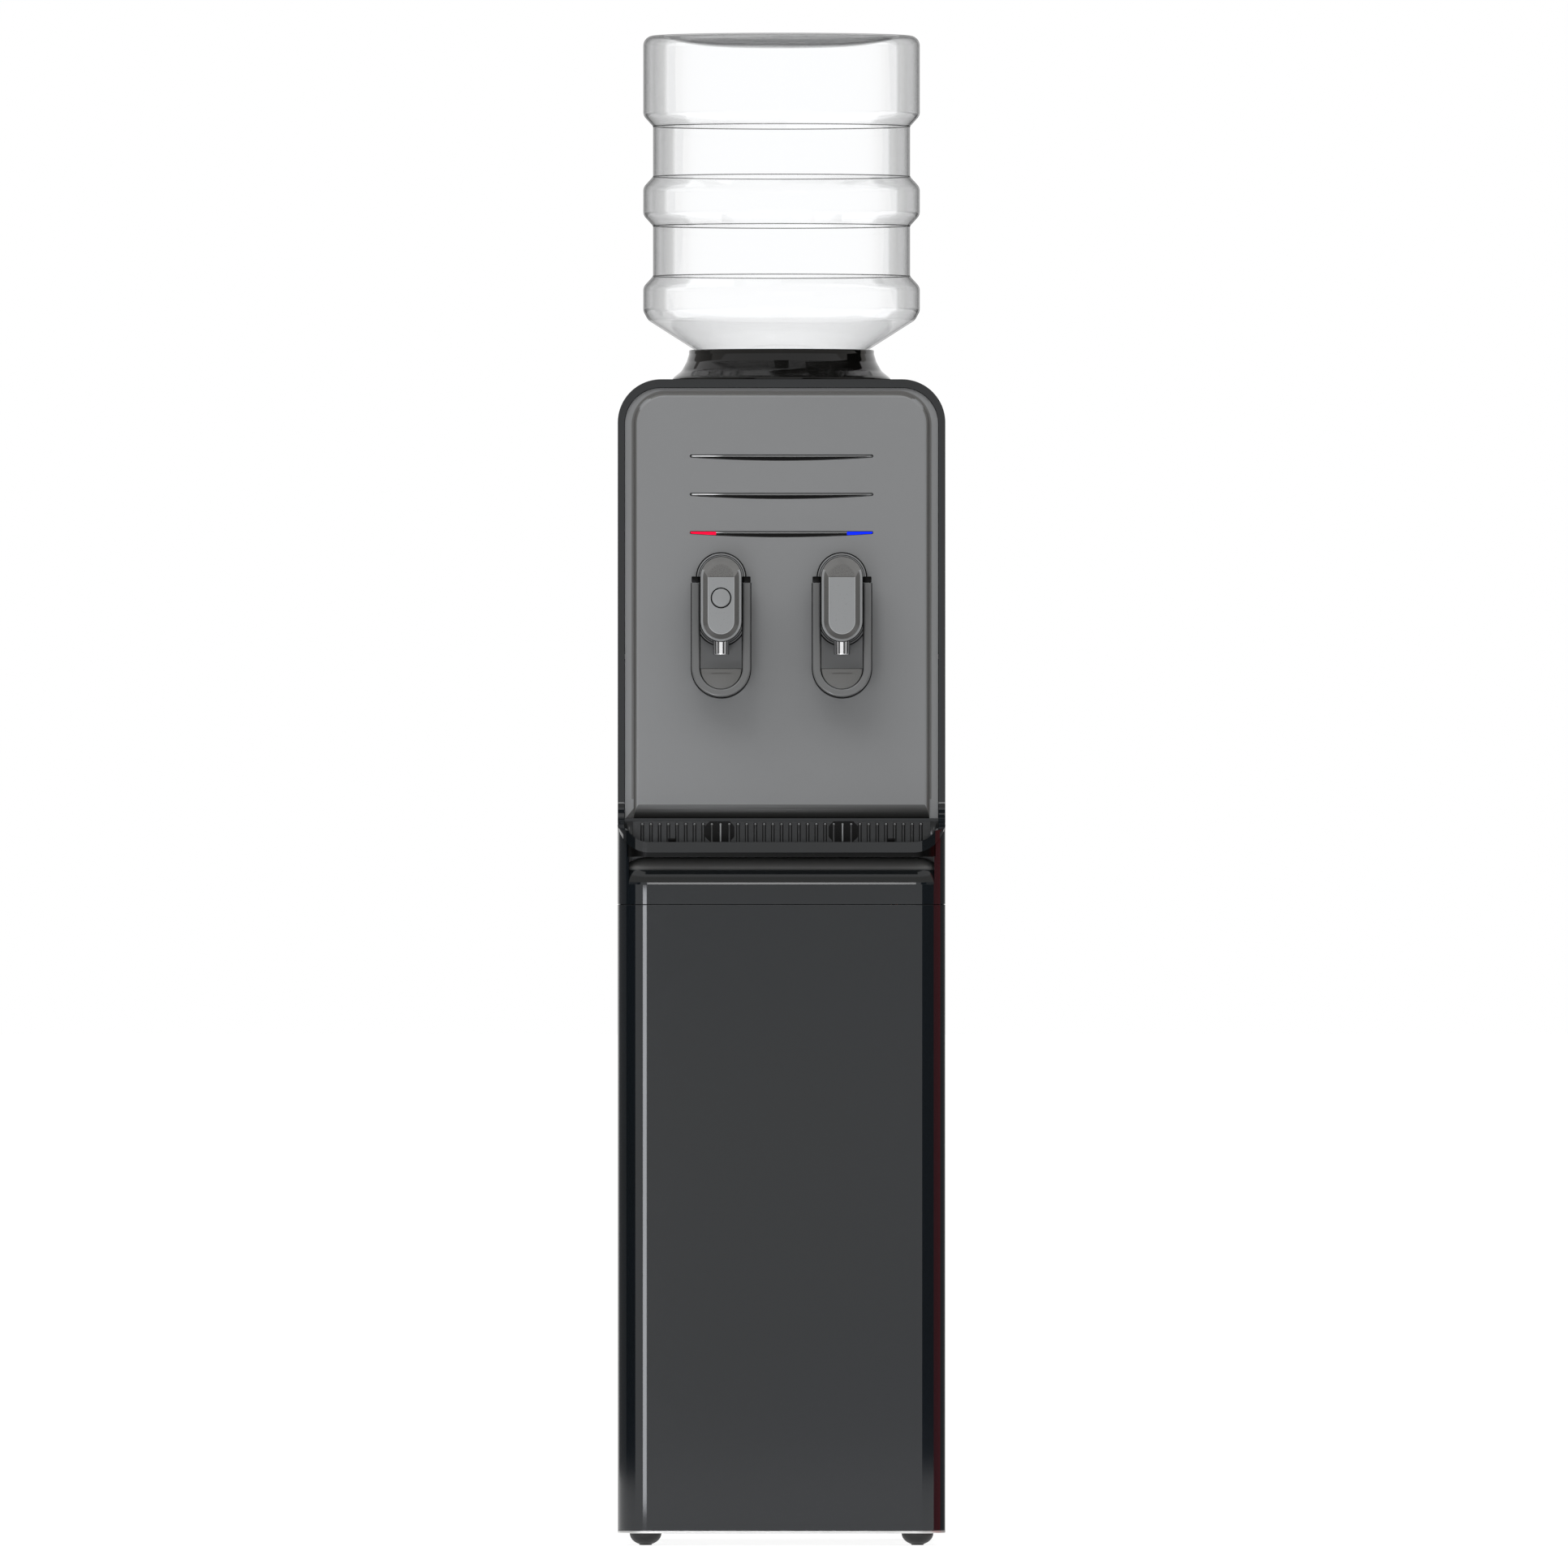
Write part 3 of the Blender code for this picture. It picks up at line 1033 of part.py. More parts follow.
def make_cold_side():
    at = (0, BOTTLE_Y, 0)
    shelf_top = SHELF_HEIGHT + SHELF_THICKNESS
    half = HALF_WIDTH - SHEET - GAP
    shelf_front = BEZEL_BACK + SHELF_SET_BACK
    outline = rounded(-half, half, shelf_front, SIDE_BACK, 0, 0)
    port = circle((COLD_PORT_X, BOTTLE_Y), HOSE_RADIUS + HOSE_CLEARANCE)[::-1]
    line = circle((LINE_X, BOTTLE_Y), LINE_RADIUS + HOSE_CLEARANCE)[::-1]
    plate("tank_shelf", [outline, port, line], SHELF_HEIGHT, shelf_top, PLAN, ZINC)

    rim = cold_tank_rim()
    floor = shelf_top + GAP
    bore = TANK_RADIUS - TANK_WALL
    tank = [(0, floor + TANK_WALL), (bore, floor + TANK_WALL), (bore, rim), (TANK_RADIUS, rim),
            (TANK_RADIUS, floor), (0, floor)]
    turned("cold_tank", tank, STEEL, at=at, closed=False)
    evaporator_low = floor + EVAPORATOR_START_SHARE * (rim - floor)
    evaporator_inner = TANK_RADIUS + GAP
    evaporator_outer = evaporator_inner + EVAPORATOR_THICKNESS
    ring("evaporator", evaporator_outer, evaporator_inner, evaporator_low,
         evaporator_low + EVAPORATOR_HEIGHT_SHARE * (rim - floor), COPPER, at=at, steps=ROUND_STEPS)
    ring("tank_insulation", INSULATION_RADIUS, evaporator_outer + GAP, floor, rim, FOAM, at=at,
         steps=ROUND_STEPS)

    hose_y = shank_end() + GAP
    x = TAP_SPACING / 2
    drop_y = hose_y + 3 * HOSE_RADIUS
    low = SHELF_HEIGHT - 4 * HOSE_RADIUS
    route = [(x, hose_y, SHANK_HEIGHT), (x, drop_y, SHANK_HEIGHT), (x, drop_y, low),
             (COLD_PORT_X, BOTTLE_Y, low), (COLD_PORT_X, BOTTLE_Y, floor - GAP)]
    tube("cold_hose", round_corners(route, 2 * HOSE_RADIUS), HOSE_RADIUS, SILICONE)


def cold_tank_rim():
    """The cold tank's rim, which the probe's disc closes."""
    return BODY_TOP - COLLAR_DROP - GAP - PROBE_DISC - GAP


def shank_end():
    """Where a tap's threaded shank ends behind the panel."""
    return panel_front() - 2 * GAP - ESCUTCHEON_THICKNESS + SHANK_LENGTH


def make_hot_side():
    top = SHELF_HEIGHT - GAP
    low = top - HOT_TANK_HEIGHT
    at = (HOT_TANK_X, HOT_TANK_Y, 0)
    profile = [(0, top), (HOT_TANK_RADIUS - HOT_TANK_ROUND, top), (HOT_TANK_RADIUS, top - HOT_TANK_ROUND),
               (HOT_TANK_RADIUS, low + HOT_TANK_ROUND), (HOT_TANK_RADIUS - HOT_TANK_ROUND, low), (0, low)]
    turned("hot_tank", profile, STEEL, at=at, closed=False)
    ring("heater_band", HOT_TANK_RADIUS + GAP + HEATER_THICKNESS, HOT_TANK_RADIUS + GAP,
         low + HEATER_START, low + HEATER_START + HEATER_HEIGHT, ZINC, at=at, steps=ROUND_STEPS)

    hose_y = shank_end() + GAP
    x = -TAP_SPACING / 2
    drop_y = hose_y + 3 * HOSE_RADIUS
    tank_front = HOT_TANK_Y - HOT_TANK_RADIUS - GAP
    route = [(x, hose_y, SHANK_HEIGHT), (x, drop_y, SHANK_HEIGHT), (x, drop_y, HOT_PORT_HEIGHT),
             (HOT_TANK_X, tank_front, HOT_PORT_HEIGHT)]
    tube("hot_hose", round_corners(route, 2 * HOSE_RADIUS), HOSE_RADIUS, SILICONE)

    tank_back = HOT_TANK_Y + HOT_TANK_RADIUS + GAP
    pipe_end = BODY_BACK + DRAIN_END
    tube("drain_pipe", [(HOT_TANK_X, tank_back, DRAIN_HEIGHT), (HOT_TANK_X, pipe_end, DRAIN_HEIGHT)],
         HOSE_RADIUS, STEEL)
    cap_inner = HOSE_RADIUS + GAP
    depth = DRAIN_END - 2 * DRAIN_CAP_WALL
    start = BODY_BACK + 2 * DRAIN_CAP_WALL
    cap = [(0, DRAIN_CAP_LENGTH), (DRAIN_CAP_RADIUS - DRAIN_CAP_WALL / 2, DRAIN_CAP_LENGTH),
           (DRAIN_CAP_RADIUS, DRAIN_CAP_LENGTH - DRAIN_CAP_WALL / 2), (DRAIN_CAP_RADIUS, 0),
           (cap_inner, 0), (cap_inner, depth + GAP), (0, depth + GAP)]
    turned("drain_cap", cap, MATT_BLACK, at=(HOT_TANK_X, start, DRAIN_HEIGHT), closed=False,
           steps=SMALL_STEPS, turn=(-math.radians(90), 0, 0))


def make_cooling():
    low = BASE_TOP + GAP
    at = (COMPRESSOR_X, COMPRESSOR_Y, 0)
    pot_low = low + COMPRESSOR_PLATE / 2
    pot_top = pot_low + COMPRESSOR_HEIGHT
    dome = arc((0, pot_top - COMPRESSOR_DOME), COMPRESSOR_RADIUS, 90, 0,
               squeeze=COMPRESSOR_DOME / COMPRESSOR_RADIUS)
    dome[0] = (0, dome[0][1])
    profile = dome + [(COMPRESSOR_RADIUS, pot_low), (0, pot_low)]
    compressor = turned("compressor", profile, MATT_BLACK, at=at, closed=False)
    half_width = COMPRESSOR_PLATE_WIDTH / 2
    half_depth = COMPRESSOR_PLATE_DEPTH / 2
    combine(compressor, block("join_compressor_plate",
                              (COMPRESSOR_X - half_width, COMPRESSOR_Y - half_depth, low),
                              (COMPRESSOR_X + half_width, COMPRESSOR_Y + half_depth, low + COMPRESSOR_PLATE),
                              None), "UNION")

    floor = SHELF_HEIGHT + SHELF_THICKNESS + GAP
    side = COMPRESSOR_X + COMPRESSOR_RADIUS + GAP
    line_low = low + COMPRESSOR_HEIGHT / 2
    line_high = floor + 2 * EVAPORATOR_START_SHARE * (cold_tank_rim() - floor)
    route = [(side, COMPRESSOR_Y, line_low), (LINE_X, COMPRESSOR_Y, line_low),
             (LINE_X, BOTTLE_Y, line_low + LINE_BEND), (LINE_X, BOTTLE_Y, line_high),
             (INSULATION_RADIUS + GAP, BOTTLE_Y, line_high)]
    tube("suction_line", round_corners(route, LINE_BEND / 3), LINE_RADIUS, COPPER)

    y = REAR_END - CONDENSER_TUBE
    turn = CONDENSER_PITCH / 2
    run_half = CONDENSER_HALF - turn
    inside = COMPRESSOR_Y
    route = [(COMPRESSOR_X - COMPRESSOR_RADIUS - GAP, inside, CONDENSER_START),
             (-CONDENSER_HALF, inside, CONDENSER_START), (-CONDENSER_HALF, y, CONDENSER_START)]
    path = round_corners(route, CONDENSER_TUBE * 3, 2)[:-1]
    for run in range(CONDENSER_RUNS):
        height = CONDENSER_START + run * CONDENSER_PITCH
        side = 1 if run % 2 == 0 else -1
        if run == 0:
            path += round_corners([(-CONDENSER_HALF, y - CONDENSER_TUBE * 4, height),
                                   (-CONDENSER_HALF, y, height),
                                   (run_half, y, height)], CONDENSER_TUBE * 3, 2)[1:-1]
        if run < CONDENSER_RUNS - 1:
            bend = arc((run_half, height + turn), turn, -90, 90, 4)
            path += [(side * u, y, v) for u, v in bend]
        else:
            path.append((side * run_half, y, height))
    tube("condenser", path, CONDENSER_TUBE, MATT_BLACK, sides=1)

    outer = run_half + CONDENSER_FRAME_BAR / 2
    bottom = CONDENSER_START + CONDENSER_FRAME_MARGIN
    top = CONDENSER_START + (CONDENSER_RUNS - 1) * CONDENSER_PITCH + CONDENSER_FRAME_MARGIN
    rim = rounded(-outer, outer, bottom, top, 0, 0)
    bar = CONDENSER_FRAME_BAR
    hole = rounded(bar - outer, outer - bar, bottom + bar, top - bar, 0, 0)[::-1]
    plate("condenser_frame", [rim, hole], BODY_BACK + GAP, y - CONDENSER_TUBE - GAP, FRONT, MATT_BLACK)


def make_rear_fittings():
    back = BODY_BACK + GAP
    face = back + SWITCH_PLATE_THICKNESS
    low = SWITCH_HEIGHT - SWITCH_PLATE_HEIGHT / 2
    high = SWITCH_HEIGHT + SWITCH_PLATE_HEIGHT / 2
    half = SWITCH_PLATE_WIDTH / 2
    rim = rounded(SWITCH_X - half, SWITCH_X + half, low, high, 0, 0)
    windows = []
    for side in (-1, 1):
        x = SWITCH_X + side * SWITCH_SPACING / 2
        across = ROCKER_WIDTH / 2 + ROCKER_CLEARANCE
        up = ROCKER_HEIGHT / 2 + ROCKER_CLEARANCE
        windows.append(rounded(x - across, x + across, SWITCH_HEIGHT - up, SWITCH_HEIGHT + up, 0, 0)[::-1])
    plate("switch_plate", [rim] + windows, back, face, FRONT, MATT_BLACK)
    axis_y = face - SWITCH_PLATE_THICKNESS / 3
    tall = ROCKER_HEIGHT / 2
    section = [(-ROCKER_THICKNESS / 2, -tall / 2), (0, -tall), (ROCKER_THICKNESS / 2 + ROCKER_PEAK, -tall),
               (ROCKER_THICKNESS / 2, 0), (ROCKER_THICKNESS / 2 + ROCKER_PEAK, tall), (0, tall),
               (-ROCKER_THICKNESS / 2, tall / 2)]
    for name, side, finish in (("cold_switch", -1, BLUE), ("hot_switch", 1, RED)):
        rocker = plate(name, [section], -ROCKER_WIDTH / 2, ROCKER_WIDTH / 2, SIDE, finish,
                       origin=(SWITCH_X + side * SWITCH_SPACING / 2, axis_y, SWITCH_HEIGHT))
        rocker.rotation_euler = (math.radians(ROCKER_TILT), 0, 0)

    height = INLET_HEIGHT
    depth = SHEET + 2 * GAP
    gland = [(INLET_RADIUS, INLET_LENGTH), (INLET_FLANGE, INLET_FLANGE_THICKNESS), (INLET_FLANGE, 0),
             (INLET_RADIUS, 0), (INLET_RADIUS, -depth), (INLET_BORE, -depth), (INLET_BORE, INLET_LENGTH)]
    turned("mains_inlet", gland, MATT_BLACK, at=(INLET_X, back, height), steps=SMALL_STEPS,
           turn=(-math.radians(90), 0, 0))


make_base()
make_lower_cabinet()
make_waist()
make_frame()
make_upper_cabinet()
make_panel()
make_tap("hot", -TAP_SPACING / 2, with_button=True)
make_tap("cold", TAP_SPACING / 2, with_button=False)
make_collar()
make_bottle()
make_tray()
make_cold_side()
make_hot_side()
make_cooling()
make_rear_fittings()
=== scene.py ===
import json
from math import cos, hypot, pi, radians, sin, tan

import bmesh
import bpy
from mathutils import Matrix, Vector

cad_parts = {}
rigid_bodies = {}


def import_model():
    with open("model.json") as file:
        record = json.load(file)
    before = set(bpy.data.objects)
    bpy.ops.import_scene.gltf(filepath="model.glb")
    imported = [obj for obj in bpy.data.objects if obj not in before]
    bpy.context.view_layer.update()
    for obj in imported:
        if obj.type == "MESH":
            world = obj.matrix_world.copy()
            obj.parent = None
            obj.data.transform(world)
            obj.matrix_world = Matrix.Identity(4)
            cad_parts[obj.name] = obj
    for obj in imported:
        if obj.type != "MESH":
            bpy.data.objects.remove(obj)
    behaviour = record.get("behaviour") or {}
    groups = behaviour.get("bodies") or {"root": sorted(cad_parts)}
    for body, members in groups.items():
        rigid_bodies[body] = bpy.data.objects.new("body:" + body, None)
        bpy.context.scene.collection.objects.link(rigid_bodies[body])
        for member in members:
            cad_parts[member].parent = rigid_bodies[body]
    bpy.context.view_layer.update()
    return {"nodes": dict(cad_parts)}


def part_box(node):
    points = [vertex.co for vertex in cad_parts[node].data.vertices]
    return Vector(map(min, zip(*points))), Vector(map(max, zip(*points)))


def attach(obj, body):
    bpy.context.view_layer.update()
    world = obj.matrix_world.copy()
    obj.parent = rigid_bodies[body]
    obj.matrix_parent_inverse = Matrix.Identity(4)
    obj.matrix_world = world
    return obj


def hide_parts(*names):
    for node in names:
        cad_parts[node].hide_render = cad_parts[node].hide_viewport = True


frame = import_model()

nodes = frame["nodes"]

# Places shared with the frame, in metres
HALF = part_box("lower_front_panel")[1].x
LIP_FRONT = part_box("front_bezel")[0].y
BODY_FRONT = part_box("lower_front_panel")[0].y
BEZEL_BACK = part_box("front_bezel")[1].y
BEZEL_FRONT = BEZEL_BACK - 0.0067
BODY_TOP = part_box("front_bezel")[1].z
LIP_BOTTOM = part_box("front_bezel")[0].z
LIP_TOP = LIP_BOTTOM + 0.0101
SIDE_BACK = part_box("lower_side_left")[1].y
PANEL_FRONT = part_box("tap_panel")[0].y
CORNER = 0.029
TOP_CORNER = 0.042
FRAME_SIDE = 0.0065
FRAME_TOP = 0.0079
SHOULDER = 0.6667
FILLET = 0.027
WALL_FOOT = -0.125
AXIS_Y = 0.0265
AXIS = (0, AXIS_Y, 0)
TAP_X = 0.0586
SHANK_Z = 0.917
SHANK_HOLE = 0.0083
PIVOT_Y = -0.112
PIVOT_Z = 0.936
RIBS = 33
RIB_PITCH = 0.00845
GROOVES = (1.0575, 1.0203, 0.9832)
GROOVE_HALF = 0.0876
SIDES = ((-1, "left"), (1, "right"))
GAP = 0.0003

# How far a cutting shape reaches past what it cuts
PAST = 0.004

def turned(degrees, axis):
    return Matrix.Rotation(radians(degrees), 4, axis)


PLAN = (Matrix.Identity(4), 2)
FRONT = (turned(90, "X"), 1)
SIDE = (Matrix(((0, 0, 1, 0), (1, 0, 0, 0), (0, 1, 0, 0), (0, 0, 0, 1))), 0)


# Materials
def node_maker(tree):
    """Two short ways: to make a node, and to set or link its inputs."""
    def feed(node, inputs):
        for key, value in inputs.items():
            if isinstance(value, bpy.types.NodeSocket):
                tree.links.new(value, node.inputs[key])
            else:
                node.inputs[key].default_value = value

    def make(kind, inputs=None, **values):
        node = tree.nodes.new("ShaderNode" + kind)
        for key, value in values.items():
            setattr(node, key, value)
        feed(node, inputs or {})
        return node
    return make, feed


def new_material(name):
    made = bpy.data.materials.new(name)
    made.use_nodes = True
    make, feed = node_maker(made.node_tree)
    return made, made.node_tree.nodes["Principled BSDF"], make, feed


def bare_material(name):
    """A material with nothing in it but its output."""
    made, shader, make, feed = new_material(name)
    made.node_tree.nodes.remove(shader)
    return made, made.node_tree.nodes["Material Output"], make, feed


def material(name, colour, roughness, metallic=0.0, vary=0.08, grain=900, bump=0.0, patch=9.0,
             second=None, rough_vary=0.25, spec=0.5, stretch=(1, 1, 1), emission=None):
    """A Principled material whose colour drifts in large patches, with fine grain in its roughness."""
    made, shader, make, feed = new_material(name)
    where = make("TexCoord").outputs["Object"]
    place = make("Mapping", {"Scale": stretch, "Vector": where}).outputs["Vector"]
    drift = make("TexNoise", {"Scale": patch, "Detail": 3, "Vector": place}).outputs["Fac"]
    spread = make("MapRange", {"From Min": 0.3, "From Max": 0.7, "Value": drift}).outputs["Result"]
    other = second or tuple(min(1.0, value * (1 + vary)) for value in colour)
    base = colour if second else tuple(value * (1 - vary) for value in colour)
    mix = make("Mix", {"A": (*base, 1), "B": (*other, 1), "Factor": spread}, data_type="RGBA")
    fine = make("TexNoise", {"Scale": grain, "Detail": 4, "Vector": place}).outputs["Fac"]
    rough = make("MapRange", {"To Min": roughness * (1 - rough_vary), "To Max": roughness * (1 + rough_vary),
                              "Value": fine})
    feed(shader, {"Base Color": mix.outputs["Result"], "Roughness": rough.outputs["Result"],
                  "Metallic": metallic, "Specular IOR Level": spec})
    if bump:
        relief = make("Bump", {"Strength": 1.0, "Distance": bump, "Height": fine})
        feed(shader, {"Normal": relief.outputs["Normal"]})
    if emission:
        feed(shader, {"Emission Color": (*emission[0], 1), "Emission Strength": emission[1]})
    made.diffuse_color = (*colour, 1)
    return made


def paint_shade_by_height(made, under, low, high):
    """Paints shade into a material: its colour falls to a darker one towards a lower height."""
    make, feed = node_maker(made.node_tree)
    shader = made.node_tree.nodes["Principled BSDF"]
    where = make("TexCoord").outputs["Object"]
    height = make("SeparateXYZ", {0: where}).outputs["Z"]
    fall = make("MapRange", {"From Min": low, "From Max": high, "Value": height},
                interpolation_type="SMOOTHSTEP")
    over = shader.inputs["Base Color"].links[0].from_socket
    mix = make("Mix", {"A": (*under, 1), "B": over, "Factor": fall.outputs["Result"]}, data_type="RGBA")
    feed(shader, {"Base Color": mix.outputs["Result"]})


def clear_plastic(name, stops):
    """Thin clear plastic: straight through, darker where a face is seen edge-on, with a glossy face."""
    made, out, make, feed = bare_material(name)
    ramp = make("ValToRGB", {"Fac": make("LayerWeight", {"Blend": 0.5}).outputs["Facing"]})
    elements = ramp.color_ramp.elements
    for index, (place, shade) in enumerate(stops):
        stop = elements[index] if index < 2 else elements.new(place)
        stop.position = place
        stop.color = (shade, shade * 1.002, shade * 1.004, 1)
    through = make("BsdfTransparent", {"Color": ramp.outputs["Color"]})
    wave = make("TexNoise", {"Scale": 14.0, "Vector": make("TexCoord").outputs["Object"]})
    relief = make("Bump", {"Distance": 0.0006, "Height": wave.outputs["Fac"]})
    gloss = make("BsdfGlossy", {"Roughness": 0.03, "Color": (1, 1, 1, 1), "Normal": relief.outputs["Normal"]})
    fresnel = make("Fresnel", {"IOR": 1.33})
    part = make("Math", {0: fresnel.outputs["Fac"], 1: 0.35}, operation="MULTIPLY")
    most = make("Math", {0: part.outputs[0], 1: 0.1}, operation="MINIMUM")
    mix = make("MixShader", {"Fac": most.outputs[0], 1: through.outputs["BSDF"], 2: gloss.outputs["BSDF"]})
    feed(out, {"Surface": mix.outputs["Shader"]})
    return made


SATIN = {"vary": 0.015, "grain": 1400, "bump": 0.00002, "patch": 5}
GREY = material("satin_grey", (0.2, 0.204, 0.208), 0.42, **SATIN)
# The tap panel's bottom roll: painted shade, the grey falling to near black towards its lower edge.
ROLL_PAINTED_SHADE = material("satin_grey_roll_painted_shade", (0.2, 0.204, 0.208), 0.42, spec=0.35, **SATIN)
paint_shade_by_height(ROLL_PAINTED_SHADE, (0.035, 0.035, 0.034), 0.7078, 0.7305)
HEAD_GREY = material("tap_grey", (0.25, 0.257, 0.262), 0.3, vary=0.02, bump=0.00001)
# Painted highlight: a light grey for the narrow edge round the tap head's raised face.
HEAD_EDGE_PAINTED_HIGHLIGHT = material("tap_edge_painted_highlight", (0.4, 0.41, 0.42), 0.25, vary=0.02)
# Painted shade on the tap head's sloped top: darker greys for the ring round it and for its half-moon.
CROWN_PAINTED_SHADE = material("tap_slope_painted_shade", (0.125, 0.124, 0.121), 0.22, vary=0.1, patch=60)
# Painted shade: a darker grey for chamfers, fillets, the step round the panel's raised face and the push
# plate's slot.
PAINTED_SHADE_GREY = material("painted_valley_shade", (0.098, 0.097, 0.094), 0.3, vary=0.04)
MOON_PAINTED_SHADE = material("tap_crown_painted_shade", (0.1, 0.099, 0.096), 0.28, vary=0.03)
# Painted light in the grooves: a lighter strip along the lit upper edge, and a glowing painted highlight at
# its left end.
GROOVE_PAINTED_LIGHT = material("groove_painted_light", (0.27, 0.275, 0.28), 0.22, vary=0.02)
GROOVE_PAINTED_HIGHLIGHT = material("groove_painted_highlight", (0.92, 0.93, 0.94), 0.18, vary=0.01,
                        emission=((0.95, 0.96, 0.97), 0.25))
LEVER_GREY = material("lever_grey", (0.138, 0.141, 0.143), 0.16, vary=0.03, grain=500)
PADDLE_GREY = material("paddle_grey", (0.105, 0.105, 0.102), 0.35, vary=0.03)
GLOSS_BLACK = material("gloss_black", (0.007, 0.0085, 0.01), 0.05, vary=0.2, grain=60, patch=4)
BODY = material("gloss_body", (0.0075, 0.0095, 0.0105), 0.06, second=(0.007, 0.0095, 0.014), grain=40,
                patch=1.6, rough_vary=0.3, spec=0.46)
# The shoulder's upper faces: a lighter grey that is a painted reflection on the glossy black, fading to the
# body's black lower down.
SHOULDER_PAINTED_REFLECTION = material("gloss_shoulder_painted_reflection", (0.19, 0.19, 0.188), 0.1, vary=0.05, grain=60, spec=0.46)
paint_shade_by_height(SHOULDER_PAINTED_REFLECTION, (0.0075, 0.009, 0.01), 0.6535, 0.657)
COLLAR_BLACK = material("collar_black", (0.0035, 0.0034, 0.0031), 0.05, vary=0.2, grain=60, patch=12,
                        spec=0.34)
PITCH_BLACK = material("pitch_black", (0.002, 0.002, 0.002), 0.3, vary=0.2, grain=300, spec=0.1)
MATT_BLACK = material("matt_black", (0.01, 0.01, 0.01), 0.45, vary=0.25, grain=1500, bump=0.00002)
RIB_GREY = material("rib_grey", (0.034, 0.035, 0.036), 0.2, grain=500)
RIB_BLACK = material("rib_black", (0.006, 0.0075, 0.009), 0.16, spec=0.4, vary=0.15, grain=500)
RED_ROCKER = material("red_rocker", (0.6, 0.01, 0.012), 0.3, vary=0.06, grain=400)
BLUE_ROCKER = material("blue_rocker", (0.01, 0.045, 0.5), 0.3, vary=0.06, grain=400)
CHROME = material("chrome", (0.78, 0.78, 0.79), 0.06, metallic=1, vary=0.02, grain=300, stretch=(1, 1, 40))
CLEAR = clear_plastic("clear_plastic", ((0, 0.999), (1, 0.34), (0.45, 0.999), (0.47, 0.925), (0.5, 0.905),
                                        (0.62, 0.85), (0.7, 0.825), (0.76, 0.765), (0.82, 0.685),
                                        (0.906, 0.53)))
CLEAR_CONE = clear_plastic("clear_cone", ((0, 0.995), (1, 0.6), (0.45, 0.985), (0.55, 0.96), (0.7, 0.91),
                                          (0.85, 0.8)))
CLEAR_DISH = clear_plastic("clear_dish", ((0, 0.98), (1, 0.8), (0.58, 0.95), (0.66, 0.52), (0.84, 0.54)))
CLEAR_EDGE = clear_plastic("clear_plastic_edge", ((0, 0.54), (1, 0.32)))
CAP_BLUE = material("cap_blue", (0.3, 0.5, 0.72), 0.4, vary=0.05, grain=700)
RED = material("red_lens", (1.0, 0.003, 0.04), 0.3, vary=0.02, grain=600, spec=0.05,
               emission=((1.0, 0.003, 0.045), 0.55))
BLUE = material("blue_lens", (0.003, 0.02, 1.0), 0.3, vary=0.02, grain=600, spec=0.05,
                emission=((0.003, 0.02, 1.0), 0.7))
STEEL = material("bare_steel", (0.55, 0.56, 0.57), 0.28, metallic=1, vary=0.05, grain=300,
                 stretch=(1, 1, 30))
ZINC = material("zinc_sheet", (0.6, 0.6, 0.59), 0.45, metallic=0.8, vary=0.12, grain=250, patch=60)
PAN_STEEL = material("pan_edge", (0.66, 0.66, 0.65), 0.35, metallic=0.6, vary=0.05, grain=250, patch=60)
FOAM = material("foam", (0.72, 0.68, 0.56), 0.95, vary=0.15, grain=500, bump=0.0004, patch=40)
COPPER = material("copper", (0.72, 0.36, 0.2), 0.3, metallic=1, vary=0.12, grain=200, patch=30)
HOSE = material("hose", (0.78, 0.78, 0.76), 0.45, vary=0.04, grain=400)
RUBBER = material("foot_rubber", (0.008, 0.008, 0.008), 0.5, vary=0.3, bump=0.00003)


# Mesh helpers
def arc(u, v, radius, start, end, steps=12, squeeze=1.0):
    points = []
    for step in range(steps + 1):
        angle = radians(start + (end - start) * step / steps)
        points.append((u + radius * cos(angle), v + radius * squeeze * sin(angle)))
    return points


def rounded(left, right, low, high, low_radius, high_radius, steps=12):
    outline = []
    corners = ((left, low, low_radius, 1, 1, 180), (right, low, low_radius, -1, 1, 270),
               (right, high, high_radius, -1, -1, 0), (left, high, high_radius, 1, -1, 90))
    for u, v, radius, inward_u, inward_v, start in corners:
        if radius > 0:
            outline += arc(u + inward_u * radius, v + inward_v * radius, radius, start, start + 90, steps)
        else:
            outline.append((u, v))
    return outline


def capsule(radius, low, high, middle=0.0, steps=28):
    return arc(middle, low, radius, 180, 360, steps) + arc(middle, high, radius, 0, 180, steps)


def circle(u, v, radius, steps=48):
    return arc(u, v, radius, 0, 360, steps)[:-1]


def fillet(points, radii, steps=6):
    """A path whose corners are round, each with its own radius."""
    path = [Vector(points[0])]
    for before, corner, after, radius in zip(points, points[1:], points[2:], radii):
        corner = Vector(corner)
        back = Vector(before) - corner
        on = Vector(after) - corner
        back_length, on_length = back.length, on.length
        back.normalize()
        on.normalize()
        half = back.angle(on) / 2
        reach = min(radius / tan(half), 0.49 * back_length, 0.49 * on_length)
        size = reach * tan(half)
        centre = corner + (back + on).normalized() * (size / sin(half))
        start = corner + back * reach - centre
        end = corner + on * reach - centre
        turn = start.angle(end)
        for step in range(steps + 1):
            share = step / steps
            point = (start * sin((1 - share) * turn) + end * sin(share * turn)) / sin(turn)
            path.append(centre + point)
    path.append(Vector(points[-1]))
    return [tuple(point) for point in path]


def add_object(name, data):
    made = bpy.data.objects.new(name, data)
    bpy.context.scene.collection.objects.link(made)
    return made


def mesh_of(work, name):
    mesh = bpy.data.meshes.new(name)
    work.to_mesh(mesh)
    work.free()
    return mesh


def seen_mesh(made):
    """A new mesh of the object as its modifiers or bevel leave it."""
    bpy.context.view_layer.update()
    seen = made.evaluated_get(bpy.context.evaluated_depsgraph_get())
    return bpy.data.meshes.new_from_object(seen)


